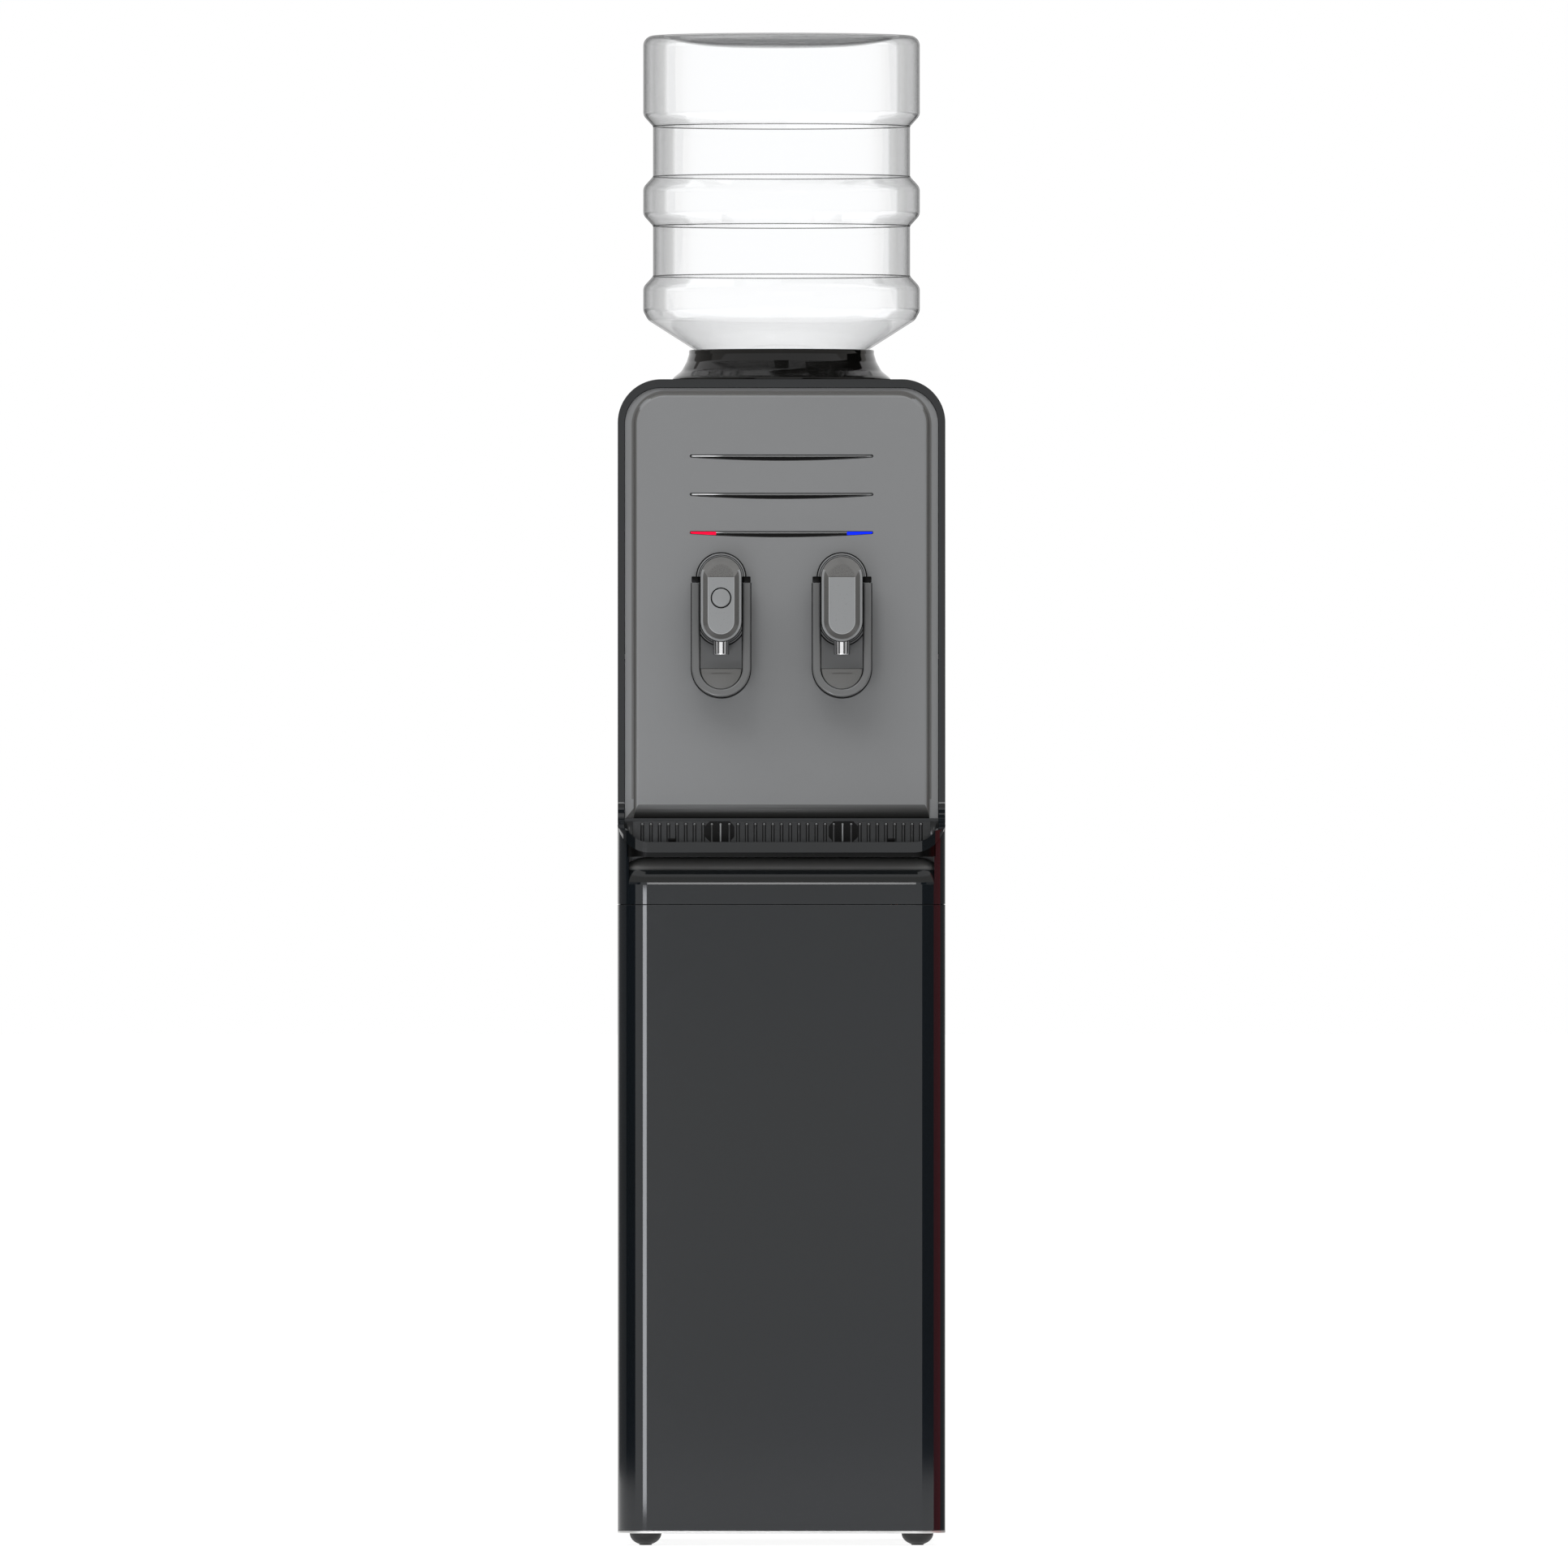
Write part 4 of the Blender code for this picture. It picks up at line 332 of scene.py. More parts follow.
def finish_mesh(mesh, angle=35):
    work = bmesh.new()
    work.from_mesh(mesh)
    bmesh.ops.remove_doubles(work, verts=work.verts, dist=1e-6)
    bmesh.ops.recalc_face_normals(work, faces=work.faces)
    work.to_mesh(mesh)
    work.free()
    mesh.shade_smooth()
    mesh.set_sharp_from_angle(angle=radians(angle))
    return mesh


def weigh_normals(made, keep_sharp):
    normals = made.modifiers.new("normals", "WEIGHTED_NORMAL")
    normals.keep_sharp = keep_sharp
    normals.weight = 100


def piece(name, mesh, finish, body="cabinet", stands_for=(), weighted=False):
    made = add_object(name, mesh)
    mesh.materials.clear()
    mesh.materials.append(finish)
    if weighted:
        weigh_normals(made, True)
    if body:
        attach(made, body)
    if stands_for:
        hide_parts(*stands_for)
    return made


def prism_mesh(name, outlines, low, high, plane, round_edge=0.0, steps=3):
    """Flat outlines with a thickness, and round edges all along both rims."""
    curve = bpy.data.curves.new(name, "CURVE")
    curve.dimensions = "2D"
    curve.fill_mode = "BOTH"
    curve.extrude = (high - low) / 2 - round_edge
    if round_edge:
        curve.bevel_depth = round_edge
        curve.bevel_resolution = steps - 1
        curve.offset = -round_edge
    for outline in outlines:
        spline = curve.splines.new("POLY")
        spline.points.add(len(outline) - 1)
        for point, (u, v) in zip(spline.points, outline):
            point.co = (u, v, 0, 1)
        spline.use_cyclic_u = True
    holder = add_object(name, curve)
    turn, axis = plane
    along = [0, 0, 0]
    along[axis] = (low + high) / 2
    holder.matrix_world = Matrix.Translation(along) @ turn
    mesh = seen_mesh(holder)
    mesh.transform(holder.matrix_world)
    bpy.data.objects.remove(holder, do_unlink=True)
    return finish_mesh(mesh)


def plate(name, outlines, low, high, plane, finish, round_edge=0.0, steps=3, **how):
    mesh = prism_mesh(name, outlines, low, high, plane, round_edge, steps)
    return piece(name, mesh, finish, weighted=round_edge > 0, **how)


def box_mesh(name, low, high, round_edge=0.0, segments=3):
    work = bmesh.new()
    size = [high[axis] - low[axis] for axis in range(3)]
    middle = Vector([(high[axis] + low[axis]) / 2 for axis in range(3)])
    bmesh.ops.create_cube(work, size=1, matrix=Matrix.Translation(middle) @ Matrix.Diagonal((*size, 1)))
    if round_edge:
        bmesh.ops.bevel(work, geom=list(work.edges), offset=round_edge, segments=segments, profile=0.5,
                        affect="EDGES")
    return finish_mesh(mesh_of(work, name))


def lathe_mesh(name, profile, centre=(0, 0, 0), steps=128, turn=None, closed=True, angle=35):
    """A profile of (radius, height) points turned about its height."""
    work = bmesh.new()
    rings = []
    for radius, height in profile:
        count = 1 if radius < 1e-7 else steps
        turns = [2 * pi * step / steps for step in range(count)]
        rings.append([work.verts.new((radius * cos(angle), radius * sin(angle), height))
                      for angle in turns])
    pairs = list(zip(rings, rings[1:]))
    if closed:
        pairs.append((rings[-1], rings[0]))
    for one, two in pairs:
        if len(one) == 1 and len(two) == 1:
            continue
        for step in range(steps):
            after = (step + 1) % steps
            if len(one) == 1:
                work.faces.new((one[0], two[step], two[after]))
            elif len(two) == 1:
                work.faces.new((one[step], two[0], one[after]))
            else:
                work.faces.new((one[step], two[step], two[after], one[after]))
    mesh = mesh_of(work, name)
    if turn:
        mesh.transform(turn)
    mesh.transform(Matrix.Translation(centre))
    return finish_mesh(mesh, angle)


def lathe(name, profile, finish, centre=(0, 0, 0), steps=128, turn=None, closed=True, angle=35, **how):
    return piece(name, lathe_mesh(name, profile, centre, steps, turn, closed, angle), finish, **how)


def rod_mesh(radius, low, high, centre, steps, turn=None):
    """A round bar between two heights over its centre."""
    profile = [(0, high), (radius, high), (radius, low), (0, low)]
    return lathe_mesh("rod", profile, centre, steps, turn, closed=False)


def loft_mesh(name, outlines):
    """Closed outlines of equally many points, joined in their order and shut at both ends."""
    work = bmesh.new()
    rings = [[work.verts.new(point) for point in outline] for outline in outlines]
    for one, two in zip(rings, rings[1:]):
        for index in range(len(one)):
            after = (index + 1) % len(one)
            work.faces.new((one[index], one[after], two[after], two[index]))
    work.faces.new(rings[0][::-1])
    work.faces.new(rings[-1])
    return finish_mesh(mesh_of(work, name))


def boolean(mesh, other, operation="DIFFERENCE"):
    """A new mesh from two closed ones."""
    first = add_object("first", mesh)
    second = add_object("second", other)
    step = first.modifiers.new("step", "BOOLEAN")
    step.operation = operation
    step.object = second
    step.solver = "EXACT"
    result = seen_mesh(first)
    for made in (first, second):
        bpy.data.objects.remove(made, do_unlink=True)
    return finish_mesh(result)


def cut(mesh, outlines, low, high, plane, operation="DIFFERENCE"):
    return boolean(mesh, prism_mesh("cut", outlines, low, high, plane), operation)


def cut_box(mesh, low, high):
    return boolean(mesh, box_mesh("cut", low, high))


def soften(made, width, segments=2, angle=50):
    """Round the hard edges of a piece and let its flat faces look flat."""
    rounding = made.modifiers.new("edges", "BEVEL")
    rounding.width = width
    rounding.segments = segments
    rounding.limit_method = "ANGLE"
    rounding.angle_limit = radians(angle)
    weigh_normals(made, False)


# Cabinet
def frame_outline(extra=0.0):
    half = HALF + extra
    return rounded(-half, half, LIP_BOTTOM - extra, BODY_TOP + extra, 0.031 + extra, TOP_CORNER + extra, 24)


def window_plan(inset, back):
    half = HALF - FRAME_SIDE - inset
    return rounded(-half, half, LIP_FRONT + FRAME_SIDE + inset, back, CORNER - FRAME_SIDE - inset, 0, 24)


def make_bezel():
    low, high = LIP_BOTTOM - PAST, BODY_TOP + PAST
    front, back = LIP_FRONT - PAST, BEZEL_BACK + PAST
    half = HALF - FRAME_SIDE
    inner = rounded(-half, half, LIP_TOP, BODY_TOP - FRAME_TOP, 0.024, TOP_CORNER - FRAME_SIDE, 24)
    mesh = prism_mesh("front_frame", [frame_outline(), inner[::-1]], LIP_FRONT, BEZEL_BACK, FRONT)
    plan = arc(CORNER - HALF, LIP_FRONT + CORNER, CORNER, 180, 270, 32)
    plan += arc(HALF - CORNER, LIP_FRONT + CORNER, CORNER, 270, 360, 32)
    plan += [(HALF, back), (-HALF, back)]
    mesh = cut(mesh, [plan], low, high, PLAN, "INTERSECT")
    profile = [(back, low), (front, low), (front, LIP_TOP)]
    profile += arc(LIP_FRONT + 0.012, LIP_TOP, 0.012, 180, 110, 16)
    profile += arc(BEZEL_FRONT - 0.02, LIP_BOTTOM + 0.0491, 0.02, -78, 0, 28)
    profile += [(BEZEL_FRONT, high), (back, high)]
    mesh = cut(mesh, [profile], -HALF - PAST, HALF + PAST, SIDE, "INTERSECT")
    mesh = cut(mesh, [window_plan(0, back)], low, LIP_TOP + 0.024, PLAN)
    made = piece("front_frame", mesh, GLOSS_BLACK, stands_for=["front_bezel"])
    soften(made, 0.0007, 3)


def body_plan(inset, back, steps=32):
    half = HALF - inset
    return rounded(-half, half, BODY_FRONT + inset, back, CORNER - inset, 0, steps)


def make_waist():
    low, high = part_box("waist_shell")
    top = high.z + 0.002
    over = top + 0.01
    mesh = waist_blank(low.z, top, high.y)
    arms = prism_mesh("arms", [body_plan(0, high.y, 24)], SHOULDER - FILLET, LIP_BOTTOM + 0.031, PLAN)
    between = 0.148
    arms = cut_box(arms, (-between, -0.2, 0.6), (between, 0.2, 0.8))
    mesh = boolean(mesh, arms, "UNION")
    mesh = cut(mesh, [frame_outline(GAP)], LIP_FRONT - PAST, PANEL_FRONT, FRONT)
    arm = HALF - FRAME_SIDE - GAP
    for side, label in SIDES:
        inner, outer = sorted((side * arm, side * (HALF + PAST)))
        mesh = cut_box(mesh, (inner, PANEL_FRONT - PAST, LIP_TOP), (outer, high.y + 0.01, over))
    mesh = cut(mesh, [window_plan(0, PANEL_FRONT)], SHOULDER, over, PLAN)
    mesh = cut_box(mesh, (-0.15, -0.1265, 0.645), (0.15, PANEL_FRONT, over))
    made = piece("waist_moulding", mesh, BODY, stands_for=["waist_shell"])
    # The shoulder's upward faces take the lighter painted reflection colour.
    mesh.materials.append(SHOULDER_PAINTED_REFLECTION)
    for face in mesh.polygons:
        middle = face.center
        on_shoulder = SHOULDER - FILLET < middle.z < SHOULDER + 0.0005 and middle.y < WALL_FOOT
        if face.normal.z > 0.1 and on_shoulder:
            face.material_index = 1
    soften(made, 0.0005)
    for side, label in SIDES:
        inner, outer = sorted((side * arm, side * HALF))
        corner = box_mesh("corner", (inner, PANEL_FRONT - 0.0042, LIP_TOP - 0.0002),
                          (outer, BEZEL_BACK, LIP_BOTTOM + 0.0308))
        corner = cut(corner, [frame_outline(GAP)], LIP_FRONT - PAST, BEZEL_BACK + PAST, FRONT)
        piece(f"waist_corner_{label}", corner, BODY)


def waist_blank(low, top, back):
    """The moulding's block: its shoulder is one round fillet that runs along the front and both corners."""
    rows = [(0.0, low), (0.0, SHOULDER - FILLET)]
    rows += [(FILLET - u, SHOULDER - FILLET + v) for u, v in arc(0, 0, FILLET, 6, 90, 14)]
    outlines = []
    for inset, height in rows:
        half = HALF - inset
        radius = max(CORNER - inset, 0.0002)
        plan = rounded(-half, half, BODY_FRONT + inset, back, radius, 0, 24)
        outlines.append([(x, y, height) for x, y in plan])
    mesh = loft_mesh("waist", outlines)
    foot = SHOULDER - 0.01
    wall = [(WALL_FOOT, foot), (WALL_FOOT, SHOULDER), (-0.0925, top), (back, top), (back, foot)]
    return boolean(mesh, prism_mesh("wall", [wall], -HALF, HALF, SIDE), "UNION")


def hoop(wall, corner, foot, centre, way, steps):
    """A wall round three sides, with its round corners above the centre where way is -1, or below it."""
    turn = 180 + 90 * way

    def line(inset):
        half, radius = HALF - inset, corner - inset
        left = arc(corner - HALF, centre, radius, 180, turn, steps)
        right = arc(HALF - corner, centre, radius, turn, 180 + 180 * way, steps)
        return [(-half, foot)] + left + right + [(half, foot)]
    return line(0) + line(wall)[::-1]


def make_panels():
    sheet = {"round_edge": 0.0004, "steps": 2}
    low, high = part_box("lower_front_panel")
    outline = hoop(0.0015, CORNER, high.y, BODY_FRONT + CORNER, 1, 40)
    plate("lower_wrap", [outline], low.z, high.z, PLAN, BODY, stands_for=["lower_front_panel"], **sheet)

    for name in ("lower_side_left", "lower_side_right", "upper_side_left", "upper_side_right"):
        low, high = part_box(name)
        outline = rounded(low.y, high.y, low.z, high.z, 0, 0)
        plate(name + "_sheet", [outline], low.x, high.x, SIDE, BODY, stands_for=[name], **sheet)

    low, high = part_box("lower_rear_panel")
    holes = []
    for index in range(7):
        bottom = low.z + 0.03 + index * 0.012
        holes.append(rounded(-0.09, 0.09, bottom, bottom + 0.005, 0.0024, 0.0024, 6)[::-1])
    holes.append(circle(-0.115, 0.075, 0.0093)[::-1])
    holes.append(circle(-0.12, 0.12, 0.003, 24)[::-1])
    plate("lower_back", [rounded(low.x, high.x, low.z, high.z, 0, 0)] + holes, low.y, high.y, FRONT, BODY,
          round_edge=0.0003, steps=2, stands_for=["lower_rear_panel"])
    low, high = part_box("upper_rear_panel")
    outline = rounded(low.x, high.x, low.z, high.z, 0, TOP_CORNER, 24)
    hole = circle(-0.055, 0.725, 0.0051, 32)[::-1]
    plate("upper_back", [outline, hole], low.y, high.y, FRONT, BODY, stands_for=["upper_rear_panel"], **sheet)

    low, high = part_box("top_cover")
    outline = hoop(0.0025, TOP_CORNER, low.z, high.z - TOP_CORNER, -1, 32)
    mesh = prism_mesh("top_shell", [outline], low.y, high.y, FRONT)
    mesh = boolean(mesh, rod_mesh(0.0493, -0.02, 0.02, (0, AXIS_Y, high.z), 96))
    made = piece("top_shell", mesh, GLOSS_BLACK, stands_for=["top_cover"])
    soften(made, 0.0006)


def make_base():
    low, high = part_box("base_pan")
    mesh = prism_mesh("floor_pan", [body_plan(0, SIDE_BACK)], low.z, low.z + 0.0025, PLAN, 0.0006)
    outer, inner = [body_plan(inset, SIDE_BACK - inset, 16) for inset in (0.003, 0.0045)]
    rim = prism_mesh("rim", [outer, inner[::-1]], low.z + 0.001, high.z, PLAN)
    piece("floor_pan", boolean(mesh, rim, "UNION"), PAN_STEEL, stands_for=["base_pan"])
    sole = cos(radians(66))
    for name in ("foot_front_left", "foot_front_right", "foot_rear_left", "foot_rear_right"):
        low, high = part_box(name)
        centre = ((low.x + high.x) / 2, (low.y + high.y) / 2, 0)
        radius = (high.x - low.x) / 2
        height = high.z
        profile = [(0, height)] + arc(0, height, radius, 0, -66, 20, height / radius)[:-1]
        profile += fillet([(radius * sole, 0.0011), (0.006, 0.0), (0, 0)], [0.001], 3)
        lathe(name + "_dome", profile, RUBBER, centre, 64, closed=False, stands_for=[name])


# Tap panel
def smile(start, end, height, grow=0.0, sag=0.003, end_height=0.003, steps=40):
    low = []
    for step in range(steps + 1):
        x = start + (end - start) * step / steps
        low.append((x, height - end_height - sag * (1 - min(1.0, (x / GROOVE_HALF) ** 2)) - grow))
    middle, radius = height - end_height / 2, end_height / 2 + grow
    right = arc(end + grow * 0.3, middle, radius, -90, 90, 10)[1:-1] if end >= GROOVE_HALF else []
    left = arc(start - grow * 0.3, middle, radius, 90, 270, 10)[1:-1] if start <= -GROOVE_HALF else []
    return low + right + [(end, height + grow), (start, height + grow)] + left


def crescent(height, half, sag=0.003, steps=40):
    """The dark lower part of a groove, which is painted shade: nothing at its ends and deepest in the middle.
    """
    top = []
    low = []
    for step in range(steps + 1):
        x = -half + 2 * half * step / steps
        share = 1 - (x / half) ** 2
        low.append((x, height - 0.0002 - sag * share))
        top.append((x, height - 0.0001 - 0.0003 * share))
    return low + top[::-1]


def make_panel():
    low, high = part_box("tap_panel")
    strip_front = PANEL_FRONT + 0.006
    turn = TOP_CORNER - FRAME_SIDE
    strip = rounded(low.x, high.x, low.z, high.z, 0, turn - 0.0005, 24)
    mesh = prism_mesh("strip", [strip], strip_front, high.y, FRONT)
    half = high.x - 0.0085
    top = high.z - 0.0047
    foot = low.z - 0.012
    pillow = rounded(-half, half, foot, top, 0, turn - 0.0047, 24)
    raised = prism_mesh("pillow", [pillow], PANEL_FRONT, PANEL_FRONT + 0.016, FRONT, 0.005, 10)
    mesh = boolean(mesh, raised, "UNION")
    front = PANEL_FRONT - PAST
    roll_rise, roll_depth = 0.0195, 0.0081
    roll_top = low.z + roll_rise
    roll = [(high.y, low.z)]
    roll += arc(PANEL_FRONT + 0.0078, roll_top, roll_depth, 270, 180, 24, roll_rise / roll_depth)
    roll += [(front, roll_top + PAST), (front, high.z + PAST), (high.y, high.z + PAST)]
    mesh = cut(mesh, [roll], -HALF, HALF, SIDE, "INTERSECT")
    for height in GROOVES:
        mesh = cut(mesh, [smile(-GROOVE_HALF, GROOVE_HALF, height)], front, PANEL_FRONT + 0.0018, FRONT)
    for side, label in SIDES:
        mesh = cut(mesh, [circle(side * TAP_X, SHANK_Z, SHANK_HOLE)], front, high.y + PAST, FRONT)
    made = piece("panel_face", mesh, GREY, stands_for=["tap_panel"])
    # Painted shade: the bottom roll's front faces take the grey that darkens downwards, and the raised face's
    # fillets take the darker grey.
    mesh.materials.append(ROLL_PAINTED_SHADE)
    mesh.materials.append(PAINTED_SHADE_GREY)
    for face in mesh.polygons:
        outside = max(abs(face.center.x) - half, face.center.z - top)
        if face.center.z < roll_top and face.normal.y < -0.05:
            face.material_index = 1
        elif -0.88 < face.normal.y < -0.05 and outside > -0.006:
            face.material_index = 2
    soften(made, 0.0004)
    # A darker ring round the raised face, just in front of the strip: painted shade at the step.
    wider = 0.002
    valley = rounded(-half - wider, half + wider, foot, top + wider, 0, turn - 0.0027, 24)
    valley_front = strip_front - 0.0002
    mesh = prism_mesh("valley", [valley, pillow[::-1]], valley_front, valley_front + 0.0008, FRONT)
    keep = box_mesh("keep", (-HALF, valley_front - PAST, roll_top), (HALF, high.y, high.z))
    piece("panel_step_painted_shade", boolean(mesh, keep, "INTERSECT"), PAINTED_SHADE_GREY)
    for index, height in enumerate(GROOVES):
        dress_groove(index, height)
    for name, side, finish in (("hot_light", -1, RED), ("cold_light", 1, BLUE)):
        low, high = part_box(name)
        start, end = sorted((side * 0.0636, side * GROOVE_HALF))
        plate(name + "_lens", [smile(start, end, 0.983, grow=-0.0002)], low.y, high.y, FRONT, finish,
              round_edge=0.0002, steps=2, stands_for=[name])


def dress_groove(index, height):
    """Painted light and shade in a groove: a dark lower part and a dark outline as painted shade, a lit strip
    as painted light and its bright left end as a glowing painted highlight, each with its own depth.
    """
    outline = smile(-GROOVE_HALF, GROOVE_HALF, height)
    inner = smile(-GROOVE_HALF, GROOVE_HALF, height, grow=-0.0006)
    strip = smile(-0.087, 0.087, height - 0.0004, sag=0.0006, end_height=0.0021)
    shine = [(-0.0864, height - 0.0019)] + arc(-0.0862, height - 0.0014, 0.0007, 225, 135, 6)
    shine += [(-0.07, height - 0.0009), (-0.056, height - 0.0014), (-0.07, height - 0.0022)]
    layers = (("painted_shade_crescent", [crescent(height - 0.0018, 0.083, 0.0032)], 0.001, 0.002, PITCH_BLACK, 0),
              ("line", [outline, inner[::-1]], 0.0002, 0.0019, PITCH_BLACK, 0),
              ("strip", [strip], 0.0013, 0.0021, GROOVE_PAINTED_LIGHT, 0.0002),
              ("shine", [shine], 0.0011, 0.0014, GROOVE_PAINTED_HIGHLIGHT, 0))
    for name, outlines, front, back, finish, edge in layers:
        front, back = PANEL_FRONT + front, PANEL_FRONT + back
        plate(f"groove_{name}_{index}", outlines, front, back, FRONT, finish, edge, 2)


# Taps
def capsule_ring(outer, inner, low, high, x):
    return [capsule(outer, low, high, x), capsule(inner, low, high, x)[::-1]]


def make_tap(prefix, x, with_button):
    low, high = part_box(prefix + "_escutcheon")
    middles = low.z + 0.0239, high.z - 0.0239
    hole = circle(x, SHANK_Z, SHANK_HOLE)[::-1]
    plate(prefix + "_rose", [capsule(0.0234, *middles, x), hole], low.y, high.y, FRONT, GREY,
          round_edge=0.0007, steps=4, stands_for=[prefix + "_escutcheon"])
    # A black ring just wider than the rose, seen as its dark outline: painted shade where the rose meets the
    # panel; and a thin dark line on the rose's face.
    for part, outer, inner, front, back in (("_rose_painted_outline", 0.0246, 0.0234, low.y + 0.0006, high.y),
                                            ("_rose_line", 0.0221, 0.0215, low.y - 0.0001, low.y + 0.0006)):
        plate(prefix + part, capsule_ring(outer, inner, *middles, x), front, back, FRONT, PITCH_BLACK)

    low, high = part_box(prefix + "_tap_body")
    back = low.y + 0.0297
    body = prism_mesh("body", [capsule(0.016, *middles, x)], low.y, back, FRONT, 0.001, 4)
    body = boolean(body, rod_mesh(0.008, -0.008, 0.0213, (x, back, SHANK_Z), 48, turned(-90, "X")), "UNION")
    low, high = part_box(prefix + "_nozzle")
    nozzle = (x, (low.y + high.y) / 2, 0)
    body = boolean(body, rod_mesh(0.0076, 0.85, high.z + GAP, nozzle, 48))
    body = boolean(body, rod_mesh(0.005, 0.89, 0.93, nozzle, 48))
    pin = rod_mesh(0.0032, -0.0198, 0.0198, (x, PIVOT_Y, PIVOT_Z), 32, turned(90, "Y"))
    made = piece(prefix + "_tap_core", boolean(body, pin), MATT_BLACK, stands_for=[prefix + "_tap_body"])
    soften(made, 0.0003, angle=60)

    make_head(prefix, x, *middles, with_button)
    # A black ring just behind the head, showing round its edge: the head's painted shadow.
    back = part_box(prefix + "_tap_head")[1].y
    plate(prefix + "_head_painted_shadow", capsule_ring(0.0204, 0.0163, *middles, x), back + 0.0001, back + 0.0016,
          FRONT, PITCH_BLACK)

    profile = fillet([(0.005, high.z), (0.0073, high.z), (0.0073, low.z), (0.005, low.z), (0.005, high.z)],
                     [0.0003, 0.0009, 0.0006], 5)[:-1]
    lathe(prefix + "_spout", profile, CHROME, nozzle, 96, weighted=True, stands_for=[prefix + "_nozzle"])
    # A black tube just wider than the spout and behind it, seen as its dark sides: a painted dark reflection
    # on the chrome.
    foot = low.z + 0.0003
    dark_edge_tube = [(0.006, high.z), (0.0077, high.z), (0.0077, foot), (0.006, foot)]
    lathe(prefix + "_spout_painted_dark_edges", dark_edge_tube, PITCH_BLACK, (x, nozzle[1] + 0.0012, 0), 64)
    make_lever(prefix, x)


def make_head(prefix, x, tap_low, tap_high, with_button):
    low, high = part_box(prefix + "_tap_head")
    front = low.y
    rim_front = front + 0.0047
    mesh = prism_mesh("rim", [capsule(0.0198, tap_low, tap_high, x, 40)], rim_front, high.y, FRONT, 0.001, 5)
    levels = [(0.0175, rim_front + 0.003), (0.0175, rim_front - 0.0002), (0.0174, rim_front - 0.0007),
              (0.0135, front + 0.0007), (0.0129, front + 0.0001), (0.0124, front)]
    plateau = [[(u, y, v) for u, v in capsule(radius, tap_low, tap_high, x, 40)] for radius, y in levels]
    mesh = boolean(mesh, loft_mesh("plateau", plateau), "UNION")
    slope_depth, slope_rise = 0.013, 0.0198
    slope = [(front - PAST, tap_high), (front, tap_high), (front + slope_depth, tap_high + slope_rise),
             (front + slope_depth, tap_high + 0.0238), (front - PAST, tap_high + 0.0238)]
    mesh = cut(mesh, [slope], x - 0.024, x + 0.024, SIDE)
    if with_button:
        low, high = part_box("hot_safety_button")
        centre = (low.z + high.z) / 2
        mesh = cut(mesh, [circle(x, centre, 0.0099, 64)], front - PAST, front + 0.012, FRONT)
        profile = fillet([(0, 0), (0.0089, 0), (0.0089, 0.0085), (0, 0.0085)], [0.0008, 0.0002], 5)
        lathe("hot_button_cap", profile, HEAD_GREY, (x, low.y, centre), 96, turned(-90, "X"), False,
              body="hot_button", stands_for=["hot_safety_button"])
        # A black ring filling the gap round the button: painted shade in the gap.
        plate("hot_button_painted_gap_shade", [circle(x, centre, 0.0101, 64), circle(x, centre, 0.009, 64)[::-1]],
              front - 0.0001, front + 0.001, FRONT, PITCH_BLACK)
    made = piece(prefix + "_tap_cover", mesh, HEAD_GREY, stands_for=[prefix + "_tap_head"])
    for finish in (PAINTED_SHADE_GREY, CROWN_PAINTED_SHADE, HEAD_EDGE_PAINTED_HIGHLIGHT):
        mesh.materials.append(finish)
    # Painted shade on the sloped top and the chamfer round the raised face, and a painted highlight on the
    # raised face's narrow edge.
    for face in mesh.polygons:
        middle = face.center
        nearest = min(max(middle.z, tap_low), tap_high)
        away = hypot(middle.x - x, middle.z - nearest)
        if face.normal.z > 0.5 and face.normal.y < -0.7 and middle.z > tap_high:
            face.material_index = 2
        elif 0.0131 < away < 0.0176 and -0.97 < face.normal.y < -0.3:
            face.material_index = 1
        elif 0.0124 < away < 0.0131 and face.normal.y < -0.3:
            face.material_index = 3
    soften(made, 0.0004, 3, 28)
    # The half-moon plate on the sloped top, also in painted shade.
    moon = arc(x, tap_high + 0.0006, 0.0119, 0, 180, 32)
    near = [(u, front + (v - tap_high) * (slope_depth / slope_rise) - 0.0003, v) for u, v in moon]
    far = [(u, y + 0.0008, v) for u, y, v in near]
    count = len(moon)
    faces = [tuple(range(count))[::-1], tuple(range(count, 2 * count))]
    for index in range(count):
        after = (index + 1) % count
        faces.append((index, after, count + after, count + index))
    crown = bpy.data.meshes.new("crown")
    crown.from_pydata(near + far, [], faces)
    piece(prefix + "_tap_crown_painted_shade", finish_mesh(crown), MOON_PAINTED_SHADE)


